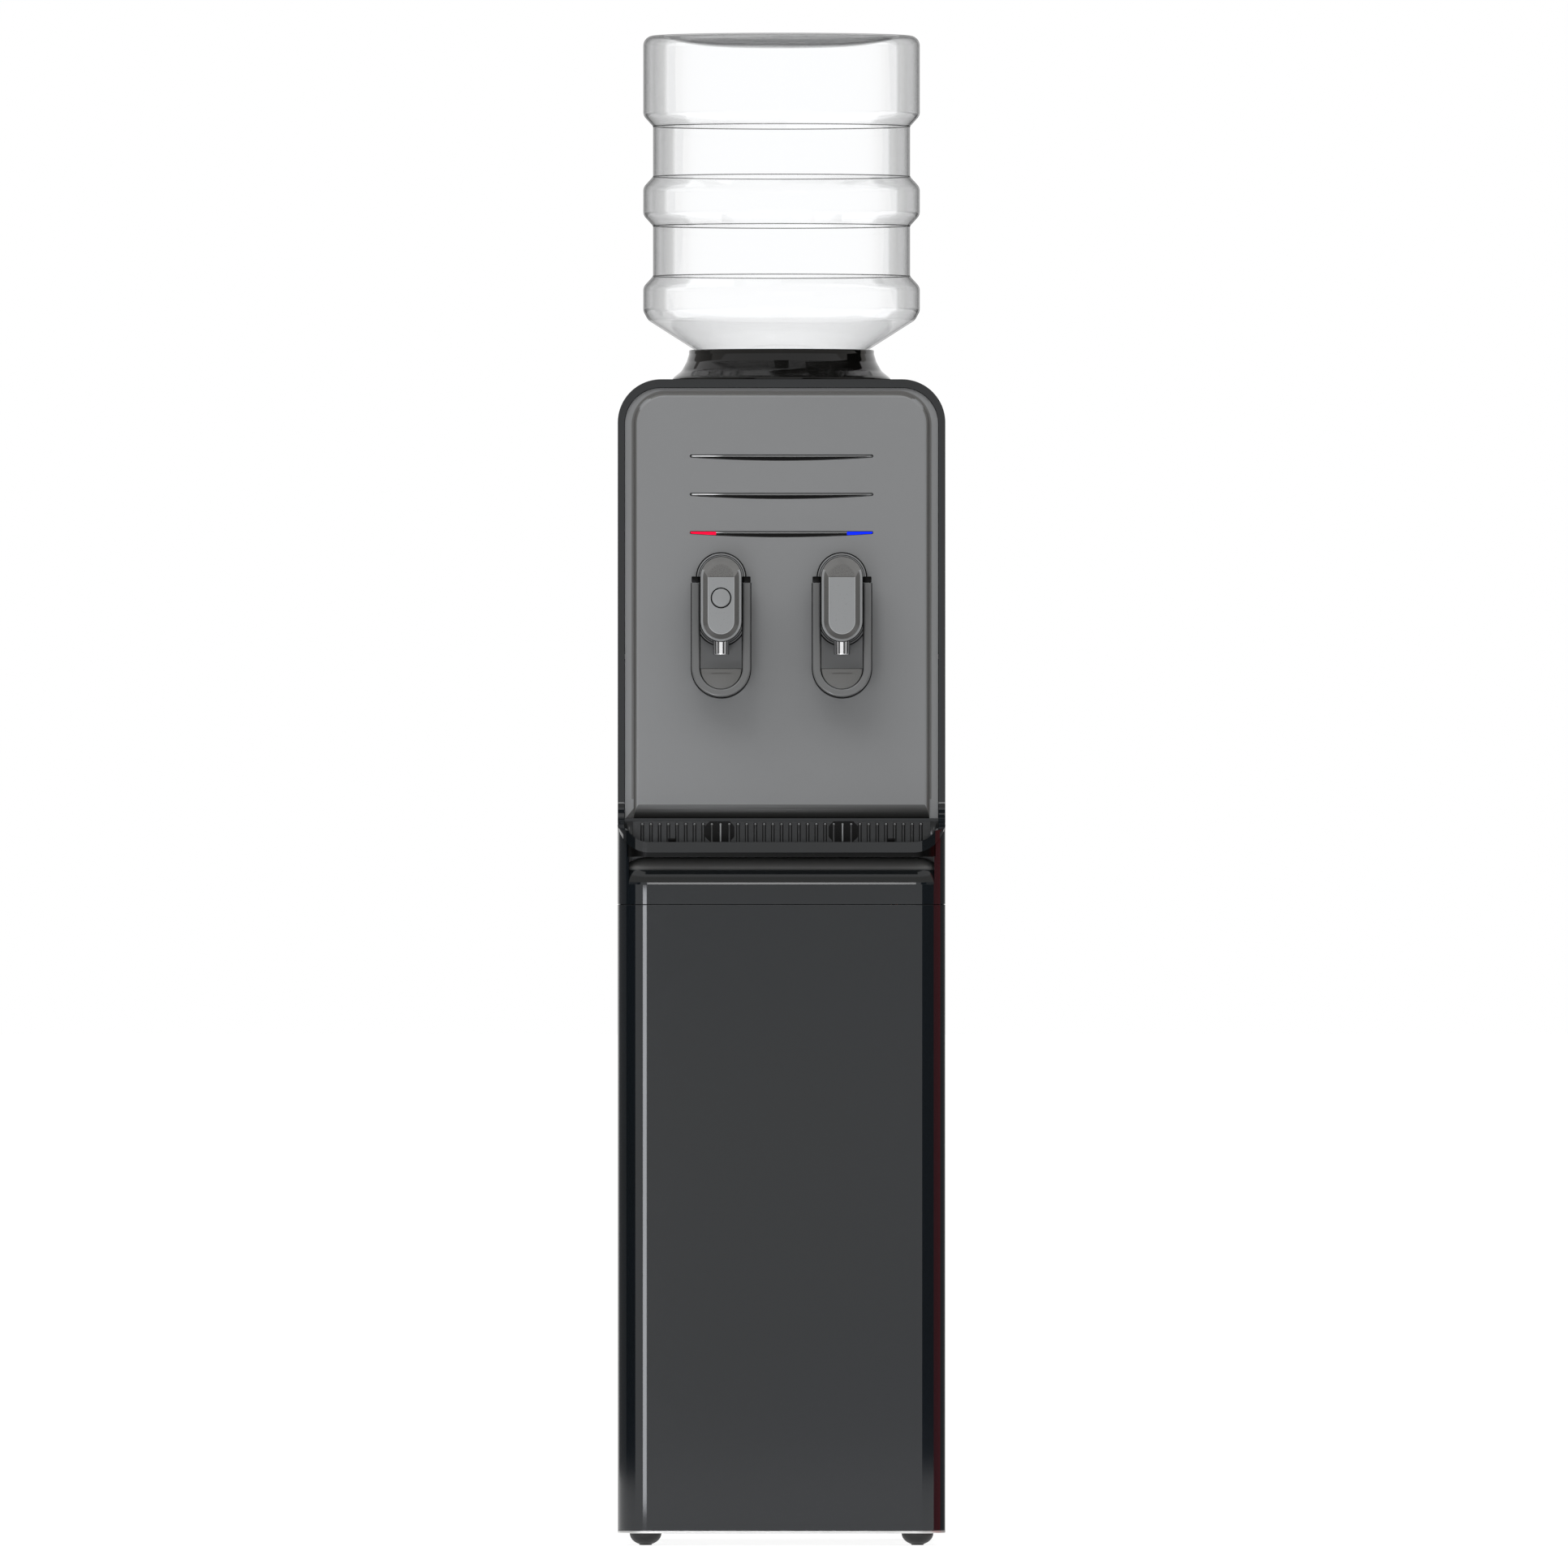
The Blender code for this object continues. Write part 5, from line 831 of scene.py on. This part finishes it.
def make_lever(prefix, x):
    body = prefix + "_lever"
    tilt = Matrix.Translation((x, PIVOT_Y, PIVOT_Z)) @ turned(-8, "X")
    outer, inner, top, reach = 0.0289, 0.0204, -0.0032, -0.087

    def part(name, mesh, finish, **how):
        mesh.transform(tilt)
        piece(prefix + name, mesh, finish, body=body, **how)

    def band(grow):
        wide, narrow = outer + grow, inner - grow
        outline = [(-wide, top)] + arc(0, reach, wide, 180, 360, 48) + [(wide, top), (narrow, top)]
        return outline + arc(0, reach, narrow, 360, 180, 48) + [(-narrow, top)]
    mesh = prism_mesh("band", [band(-0.0004)], -0.0035, 0.003, FRONT, 0.002, 6)
    part("_lever_band", mesh, LEVER_GREY, weighted=True, stands_for=[body])
    # Black sheets just larger than the band and the push plate, behind them, seen as their dark outlines:
    # painted edge shade.
    part("_lever_painted_outline", prism_mesh("edge", [band(0.0004)], 0.0002, 0.0035, FRONT), PITCH_BLACK)
    moon = arc(0, reach - 0.0001, 0.0206, 180, 360, 48)
    part("_plate_painted_outline", prism_mesh("moon", [moon], 0.0002, 0.0015, FRONT), PITCH_BLACK)
    moon = arc(0, reach - 0.0007, 0.0197, 180, 360, 48)
    mesh = prism_mesh("moon", [moon], -0.0015, 0.001, FRONT, 0.0004, 3)
    mark, mark_low, mark_high = 0.0094, reach - 0.0061, reach - 0.0045
    mesh = cut_box(mesh, (-mark, -PAST, mark_low), (mark, -0.0009, mark_high))
    part("_push_plate", mesh, PADDLE_GREY)
    # The slot's floor is in the darker grey: painted shade in the slot.
    slot = rounded(-mark, mark, mark_low, mark_high, 0, 0)
    part("_push_mark", prism_mesh("slot", [slot], -0.00095, -0.00075, FRONT), PAINTED_SHADE_GREY)
    for side, label in SIDES:
        near, far = sorted((side * 0.0203, side * 0.0286))
        block = box_mesh("block", (x + near, PIVOT_Y - 0.0032, PIVOT_Z - 0.0027),
                         (x + far, PIVOT_Y + 0.003, PIVOT_Z + 0.003), 0.0007)
        piece(f"{prefix}_pivot_block_{label}", block, PITCH_BLACK, body=body)
    low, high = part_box(prefix + "_pivot_pin")
    profile = fillet([(0, high.x - x), (0.0029, high.x - x), (0.0029, low.x - x), (0, low.x - x)],
                     [0.0006, 0.0006], 4)
    lathe(prefix + "_hinge_pin", profile, MATT_BLACK, (x, PIVOT_Y, PIVOT_Z), 48, turned(90, "Y"), False,
          body=body, stands_for=[prefix + "_pivot_pin"])


# Collar, bottle and cap
def make_collar():
    low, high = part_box("bottle_collar")
    top, under, neck = high.z, high.z - 0.0297, 0.049
    points = [(0.0868, top), (0.0903, top), (0.0903, top - 0.0042), (0.0925, top - 0.0115),
              (0.0975, top - 0.0205), (0.1046, top - 0.0262), (0.106, top - 0.0278), (0.106, under),
              (neck, under), (neck, low.z), (0.0465, low.z), (0.0465, top - 0.0246), (0.0868, top)]
    radii = [0.0014, 0.003, 0.01, 0.01, 0.002, 0.0008, 0.0003, 0.0006, 0.0004, 0.0004, 0.006]
    profile = fillet(points, radii, 8)
    profile = [(0.0872, top)] + profile[1:-1]
    lathe("collar_ring", profile, COLLAR_BLACK, AXIS, 192, angle=50, body="collar",
          stands_for=["bottle_collar"])

    low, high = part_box("bottle_probe")
    tip, disc = high.z, low.z + 0.003
    points = [(0.0045, tip), (0.007, tip - 0.009), (0.007, disc), (neck, disc), (neck, low.z),
              (0.0045, low.z), (0.0045, tip)]
    mesh = lathe_mesh("probe", fillet(points, [0.002, 0.0015, 0.0006, 0.0006, 0.0003], 5)[:-1], AXIS, 96)
    ports, spread = 6, 0.032
    for index in range(ports):
        angle = 2 * pi * index / ports
        centre = (spread * cos(angle), AXIS_Y + spread * sin(angle), disc)
        mesh = boolean(mesh, rod_mesh(0.007, -0.01, 0.01, centre, 40))
    piece("probe_spike", mesh, MATT_BLACK, body="collar", stands_for=["bottle_probe"])


def make_bottle():
    seat, wall = 1.1606, 0.0014
    wide, waist, top = 0.1347, 0.1252, 0.3061
    cone_top = 0.029
    outer = [(0.0275, -0.078), (0.0275, -0.038), (0.0325, -0.033), (0.13, cone_top), (wide, 0.0379),
             (wide, 0.0614), (waist, 0.0719), (waist, 0.1209), (wide, 0.1314), (wide, 0.1584),
             (waist, 0.1689), (waist, 0.2179), (wide, 0.2284), (wide, top), (0.115, top)]
    radii = [0.003, 0.004, 0.012, 0.01, 0.009, 0.004, 0.004, 0.009, 0.009, 0.004, 0.004, 0.009, 0.0195]
    path = fillet(outer, radii, 10)
    rim, depth, steps = path[-1][0], 0.0098, 14
    for step in range(1, steps + 1):
        share = 1 - step / steps
        path.append((rim * share, top - depth * (1 - share ** 4)))
    inner = offset_path(path, wall)
    inner[-1] = (0, path[-1][1] - wall)
    inner[0] = (path[0][0] - wall, path[0][1])
    profile = [(radius, seat + height) for radius, height in path + inner[::-1]]
    mesh = lathe_mesh("bottle", profile, AXIS, 192, angle=60)
    piece("bottle_shell", mesh, CLEAR, body="bottle", stands_for=["bottle"])
    mesh.materials.append(CLEAR_CONE)
    mesh.materials.append(CLEAR_DISH)
    for face in mesh.polygons:
        height = face.center.z - seat
        away = hypot(face.center.x, face.center.y - AXIS_Y)
        if height < cone_top:
            face.material_index = 1
        elif height > 0.2935 and away < 0.1145:
            face.material_index = 2
    section = ((0.0001, -0.0005), (0.0004, 0), (0.0001, 0.0005), (-0.0013, 0.0005), (-0.0013, -0.0005))
    for index, height in enumerate((0.0719, 0.1209, 0.1689, 0.2179)):
        ring = [(waist + u, seat + (height + v)) for u, v in section]
        lathe(f"bottle_ring_{index}", ring, CLEAR_EDGE, AXIS, 192, body="bottle")

    low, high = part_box("bottle_cap")
    skirt, hole, floor = 0.028, 0.0078, low.z + 0.002
    points = [(skirt, high.z), (0.03, high.z), (0.03, low.z), (hole, low.z), (hole, floor), (skirt, floor),
              (skirt, high.z)]
    lathe("neck_cap", fillet(points, [0.0003, 0.0012, 0.0006, 0.0003, 0.0003], 5)[:-1], CAP_BLUE, AXIS, 96,
          body="bottle", stands_for=["bottle_cap"])


def offset_path(points, distance):
    """The inside of a turned wall: the path moved inwards at right angles."""
    moved = []
    for index, point in enumerate(points):
        before = points[max(index - 1, 0)]
        after = points[min(index + 1, len(points) - 1)]
        along = Vector((after[0] - before[0], after[1] - before[1])).normalized()
        moved.append((max(0.0, point[0] - along.y * distance), point[1] + along.x * distance))
    return moved


# Drip tray and grille
def make_tray():
    low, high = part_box("drip_tray")
    back = high.y
    bottom = SHOULDER + 2 * GAP
    over = high.z + PAST
    mesh = prism_mesh("tray", [window_plan(0.0005, back)], bottom, high.z, PLAN)
    well = box_mesh("well", (-0.1495, -0.126, low.z), (0.1495, back, bottom + 0.0007))
    mesh = boolean(mesh, well, "UNION")
    mesh = cut(mesh, [window_plan(0.0025, back - 0.002)], bottom + 0.0015, over, PLAN)
    mesh = cut_box(mesh, (-0.1475, -0.124, low.z + 0.0015), (0.1475, back - 0.002, over))
    made = piece("tray_pan", mesh, MATT_BLACK, body="tray", stands_for=["drip_tray"])
    mesh.materials.append(PITCH_BLACK)
    for face in mesh.polygons:
        if face.normal.y < -0.2 and face.center.y < -0.13:
            face.material_index = 1
    soften(made, 0.0005)
    make_grille()


def make_grille():
    low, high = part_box("drip_grille")
    deck_top = LIP_TOP
    back = high.y
    wall_front = back - 0.003
    front = low.y
    half = high.x
    section = [(front, low.z), (back, low.z), (back, high.z), (wall_front, high.z), (wall_front, deck_top),
               (front, deck_top)]
    mesh = prism_mesh("grille", [section], -half, half, SIDE)
    slots = []
    for index in range(RIBS - 1):
        x = (index + 1 - RIBS / 2) * RIB_PITCH
        slots.append(rounded(x - 0.0027, x + 0.0027, front + 0.01, back - 0.012, 0.0026, 0.0026, 6))
    mesh = cut(mesh, slots, low.z - PAST, deck_top + PAST, PLAN)
    mesh = cut(mesh, [window_plan(0.0005, back + PAST)], low.z - PAST, high.z + PAST, PLAN, "INTERSECT")
    made = piece("grille_plate", mesh, RIB_BLACK, body="grille", stands_for=["drip_grille"])
    soften(made, 0.0004)
    top = high.z - 0.0032
    tall = top - deck_top
    middle = (top + deck_top) / 2
    # Each rib: a round bar, a light ball at its top that is a painted highlight, and a black sheet behind it,
    # seen at its sides as painted shade.
    ribs, tips, behind = bmesh.new(), bmesh.new(), bmesh.new()
    for index in range(RIBS):
        x = (index - RIBS // 2) * RIB_PITCH
        bmesh.ops.create_cone(ribs, cap_ends=True, segments=16, radius1=0.001, radius2=0.001, depth=tall,
                              matrix=Matrix.Translation((x, wall_front - 0.0004, middle)))
        bmesh.ops.create_uvsphere(tips, u_segments=16, v_segments=8, radius=0.0011,
                                  matrix=Matrix.Translation((x, wall_front - 0.0005, top)))
        place = Matrix.Translation((x, wall_front + 0.0001, middle + 0.0007))
        size = Matrix.Diagonal((0.0036, 0.0006, tall + 0.0014, 1))
        bmesh.ops.create_cube(behind, size=1.0, matrix=place @ size)
    for name, work, finish in (("ribs", ribs, RIB_GREY), ("rib_painted_highlights", tips, GREY),
                               ("rib_painted_shade", behind, PITCH_BLACK)):
        mesh = mesh_of(work, name)
        mesh.shade_smooth()
        mesh.set_sharp_from_angle(angle=radians(50))
        piece("grille_" + name, mesh, finish, body="grille")
    middle = (deck_top + high.z) / 2
    wide, tall, cut_off = 0.0142, (high.z - deck_top) / 2 - 0.0004, 0.0045
    octagon = [(-wide, -tall + cut_off), (-wide + cut_off, -tall), (wide - cut_off, -tall),
               (wide, -tall + cut_off), (wide, tall - cut_off), (wide - cut_off, tall),
               (-wide + cut_off, tall), (-wide, tall - cut_off)]
    low = deck_top + 0.0002
    # Below each spout a dark octagon plate; the streak is a light strip on it, a painted highlight. The other
    # blocks are small black marks and the grille's end inserts.
    blocks = (("painted_streak", 0.0592, 0.0007, -0.0018, -0.001, deck_top + 0.0006, top, 0.0002, HEAD_GREY),
              ("stop", 0.1065, 0.0036, -0.0016, -0.0004, low, deck_top + 0.0034, 0.0003, PITCH_BLACK),
              ("end", half - 0.0041, 0.0035, -0.0022, 0.0006, low, high.z - 0.0003, 0.0004, RIB_BLACK))
    for side, label in SIDES:
        outline = [(side * 0.06 + u, middle + v) for u, v in octagon]
        plate(f"grille_dark_octagon_{label}", [outline], wall_front - 0.0003, wall_front + 0.0004, FRONT, PITCH_BLACK,
              body="grille")
        for name, away, wide, near, far, bottom, upper, edge, finish in blocks:
            block = box_mesh(name, (side * away - wide, wall_front + near, bottom),
                             (side * away + wide, wall_front + far, upper), edge, 2)
            piece(f"grille_{name}_{label}", block, finish, body="grille")


# Back
def make_back():
    low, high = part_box("switch_plate")
    outlines = [rounded(low.x, high.x, low.z, high.z, 0.004, 0.004, 10)]
    switches = (("cold", 0.063, BLUE_ROCKER), ("hot", 0.097, RED_ROCKER))
    rocker_z = 0.93
    for side, x, finish in switches:
        hole = rounded(x - 0.0083, x + 0.0083, rocker_z - 0.0118, rocker_z + 0.0118, 0.001, 0.001, 4)
        outlines.append(hole[::-1])
    plate("switch_frame", outlines, low.y, high.y, FRONT, MATT_BLACK, round_edge=0.0008, steps=4,
          stands_for=["switch_plate"])
    thick, tall, peak = 0.00225, 0.011, 0.0014
    section = [(-thick, -tall / 2), (0, -tall), (thick + peak, -tall)]
    section += [(thick + peak * (step / 8) ** 2, tall * step / 8) for step in range(-7, 8)]
    section += [(thick + peak, tall), (0, tall), (-thick, tall / 2)]
    for side, x, finish in switches:
        name = side + "_switch"
        mesh = prism_mesh(name, [section], -0.0075, 0.0075, SIDE, 0.0006, 3)
        mesh.transform(Matrix.Translation((x, 0.1446, rocker_z)) @ turned(7, "X"))
        piece(name + "_rocker", mesh, finish, body=side + "_rocker", weighted=True, stands_for=[name])

    low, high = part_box("drain_cap")
    centre = ((low.x + high.x) / 2, low.y, (low.z + high.z) / 2)
    points = [(0, 0.016), (0.011, 0.016), (0.011, 0), (0.0048, 0), (0.0048, 0.0073), (0, 0.0073)]
    mesh = lathe_mesh("cap", fillet(points, [0.0012, 0.0006, 0.0003, 0.0003], 5), steps=96, closed=False)
    grips, grip_away = 18, 0.0112
    for index in range(grips):
        angle = 2 * pi * index / grips
        place = (grip_away * cos(angle), grip_away * sin(angle), 0)
        mesh = boolean(mesh, rod_mesh(0.0008, 0.002, 0.013, place, 12))
    mesh.transform(Matrix.Translation(centre) @ turned(-90, "X"))
    piece("drain_knob", mesh, MATT_BLACK, body="drain_cap", stands_for=["drain_cap"])


make_bezel()
make_waist()
make_panels()
make_base()
make_panel()
make_tap("hot", -TAP_X, True)
make_tap("cold", TAP_X, False)
make_collar()
make_bottle()
make_tray()
make_back()


# Finishes of the pieces that keep the frame's own shape
KEPT = ((STEEL, "cold_tank hot_tank drain_pipe hot_tap_nut cold_tap_nut hot_valve_stem cold_valve_stem"),
        (COPPER, "evaporator suction_line"), (FOAM, "tank_insulation"), (ZINC, "tank_shelf heater_band"),
        (HOSE, "cold_hose hot_hose"), (MATT_BLACK, "compressor condenser condenser_frame mains_inlet"))
for finish, names in KEPT:
    for name in names.split():
        for slot in nodes[name].material_slots:
            slot.material = finish
        if not nodes[name].material_slots:
            nodes[name].data.materials.append(finish)

for made in list(bpy.context.scene.objects):
    if made.type != "MESH" or made.name in nodes:
        continue


# Stage, light and camera
def stage_piece(name, points, faces, finish):
    mesh = bpy.data.meshes.new(name)
    mesh.from_pydata(points, [], faces)
    mesh.materials.append(finish)
    made = add_object(name, mesh)
    return made


def hang_card(name, points, faces, colour):
    """A glowing sheet that only shows in glossy faces."""
    finish, out, make, feed = bare_material(name)
    glow = make("Emission", {"Color": (*colour, 1), "Strength": 1.0})
    feed(out, {"Surface": glow.outputs["Emission"]})
    made = stage_piece(name, points, faces, finish)
    made.visible_camera = False
    made.visible_diffuse = False
    made.visible_transmission = False
    made.visible_volume_scatter = False
    made.visible_shadow = False


def card(name, start, end, low, high, colour, distance=6.0, steps=12, centre=(0.0, 0.0)):
    """A bent card round the object; angles in degrees from the front."""
    points = []
    for step in range(steps + 1):
        angle = radians(start + (end - start) * step / steps)
        x, y = centre[0] + distance * sin(angle), centre[1] - distance * cos(angle)
        points += [(x, y, low), (x, y, high)]
    faces = [(2 * i, 2 * i + 2, 2 * i + 3, 2 * i + 1) for i in range(steps)]
    hang_card(name, points, faces, colour)


def make_swoosh():
    """A dark overhead card, seen in the right half of the glossy collar."""
    centre = Vector((0, -0.065, 1.15))
    points = [centre + 3 * Vector(way).normalized() for way in (*SWOOSH, (0.62, 0.15, 0.7))]
    last = len(SWOOSH)
    faces = [(index, (index + 1) % last, last) for index in range(last)]
    hang_card("swoosh", points, faces, (0.0, 0.0, 0.0))


def direct(make):
    """One for rays from the eye or from glossy or clear faces, and nothing for the rest."""
    path = make("LightPath").outputs
    seen = make("Math", {0: path["Is Camera Ray"], 1: path["Is Glossy Ray"]}, operation="MAXIMUM")
    more = make("Math", {0: seen.outputs[0], 1: path["Is Transmission Ray"]}, operation="MAXIMUM")
    return more.outputs[0]


def make_floor():
    made, shader, make, feed = new_material("pale_floor")
    lift = make("Math", {0: direct(make), 1: 0.8}, operation="MULTIPLY")
    feed(shader, {"Base Color": (0.45, 0.45, 0.45, 1), "Roughness": 0.9, "Specular IOR Level": 0.0,
                  "Emission Color": (1, 1, 1, 1), "Emission Strength": lift.outputs[0]})
    far, level = 60.0, -0.0005
    corners = [(x, y, level) for x, y in rounded(-far, far, -far, far, 0, 0)]
    stage_piece("floor", corners, [(0, 1, 2, 3)], made)


def make_world():
    world = bpy.data.worlds.new("studio")
    bpy.context.scene.world = world
    world.use_nodes = True
    make, feed = node_maker(world.node_tree)
    where = make("TexCoord").outputs["Generated"]
    height = make("SeparateXYZ", {0: where}).outputs["Z"]
    sky = make("MapRange", {"From Min": -0.2, "To Min": WORLD_LOW, "To Max": WORLD_HIGH, "Value": height})
    level = make("MapRange", {"To Min": sky.outputs["Result"], "To Max": 1.0, "Value": direct(make)})
    feed(world.node_tree.nodes["Background"], {"Color": (1, 1, 1, 1), "Strength": level.outputs["Result"]})


def lamp(name, place, target, size, watts):
    data = bpy.data.lights.new(name, "AREA")
    data.shape = "RECTANGLE"
    data.size, data.size_y = size
    data.energy = watts
    made = add_object(name, data)
    made.location = place
    made.rotation_euler = (Vector(target) - Vector(place)).to_track_quat("-Z", "Y").to_euler()
    made.visible_glossy = False


WORLD_LOW = 0.25
WORLD_HIGH = 0.95
make_world()
make_floor()
lamp("key", (-1.3, -2.2, 3.9), (0, 0, 0.8), (3.4, 2.4), 86)
lamp("fill", (1.9, -2.2, 3.6), (0, 0, 0.8), (3.0, 2.4), 34)
LEFT_CORNER = (CORNER - HALF, BODY_FRONT + CORNER)
RIGHT_CORNER = (HALF - CORNER, BODY_FRONT + CORNER)
RED_END = 93.4
card("left_strip", -17.0, -2.6, -1.0, 0.65, (9.0, 9.2, 9.6), distance=1.5, centre=LEFT_CORNER)
card("right_red", 61.4, RED_END, -0.02, 0.7, (0.55, 0.06, 0.06), distance=0.08, centre=RIGHT_CORNER)
card("right_edge", RED_END, 132.0, -0.02, 0.7, (0.13, 0.13, 0.13), distance=0.08, centre=RIGHT_CORNER)
LOW_TOP, MIDDLE_TOP, HIGH_TOP = 0.8, 1.175, 2.6
LOW_CARDS = (("left_far", -137, -87, 3.0, 0.22), ("left_dark", -87, -47, 3.0, 0.01),
             ("right_dark", 26, 93, 3.3, 0.05))
for name, start, end, far, shade in LOW_CARDS:
    card(name, start, end, -1.0, LOW_TOP, (shade, shade, shade), distance=far)
MIDDLE_CARDS = ((-180, -105, 0.12), (-105, -72, 0.45), (-72, -39, 0.25), (-39, -28, 0.01), (22, 42, 0.02),
                (42, 84, 0.35), (84, 180, 0.06))
for index, (start, end, shade) in enumerate(MIDDLE_CARDS):
    card(f"middle_{index}", start, end, LOW_TOP, MIDDLE_TOP, (shade, shade, shade), distance=3.0)
HIGH_CARDS = ((-137, -100, 0.3), (-100, 130, 0.62))
for index, (start, end, shade) in enumerate(HIGH_CARDS):
    colour = (shade, shade * 0.97, shade * 0.93)
    card(f"high_{index}", start, end, MIDDLE_TOP, HIGH_TOP, colour, distance=3.0)
card("roof_dark", -12, 12, 6.6, 15.0, (0.02, 0.02, 0.02), steps=20)
SWOOSH = ((-0.1, 0.22, 0.97), (0.02, -0.24, 0.97), (0.38, -0.43, 0.82), (0.74, -0.17, 0.65),
          (0.92, 0.08, 0.39), (0.96, 0.27, 0.04), (0.89, 0.45, 0.0), (0.78, 0.49, 0.39), (0.64, 0.5, 0.59),
          (0.41, 0.55, 0.73), (0.33, 0.39, 0.86), (0.18, 0.25, 0.95), (0.03, 0.21, 0.98))
make_swoosh()
card("top_strip", -1.0, 1.0, 2.0, 4.8, (7.0, 7.0, 7.0), distance=20.0, steps=4)

TARGET = Vector((0.0024, -0.05, 0.7377))
LENS = 700.0
FRAME_WIDTH = 1.524
ELEVATION = 0.0
camera_data = bpy.data.cameras.new("camera")
camera_data.lens = LENS
camera_data.sensor_width = 36.0
camera_data.clip_end = 200.0
camera = add_object("camera", camera_data)
distance = FRAME_WIDTH / camera_data.sensor_width * LENS
tilt = radians(ELEVATION)
camera.location = TARGET + Vector((0, -distance * cos(tilt), distance * sin(tilt)))
camera.rotation_euler = (TARGET - camera.location).to_track_quat("-Z", "Y").to_euler()
bpy.context.scene.camera = camera
bpy.context.scene.view_settings.view_transform = "Standard"
bpy.context.scene.cycles.transparent_max_bounces = 24
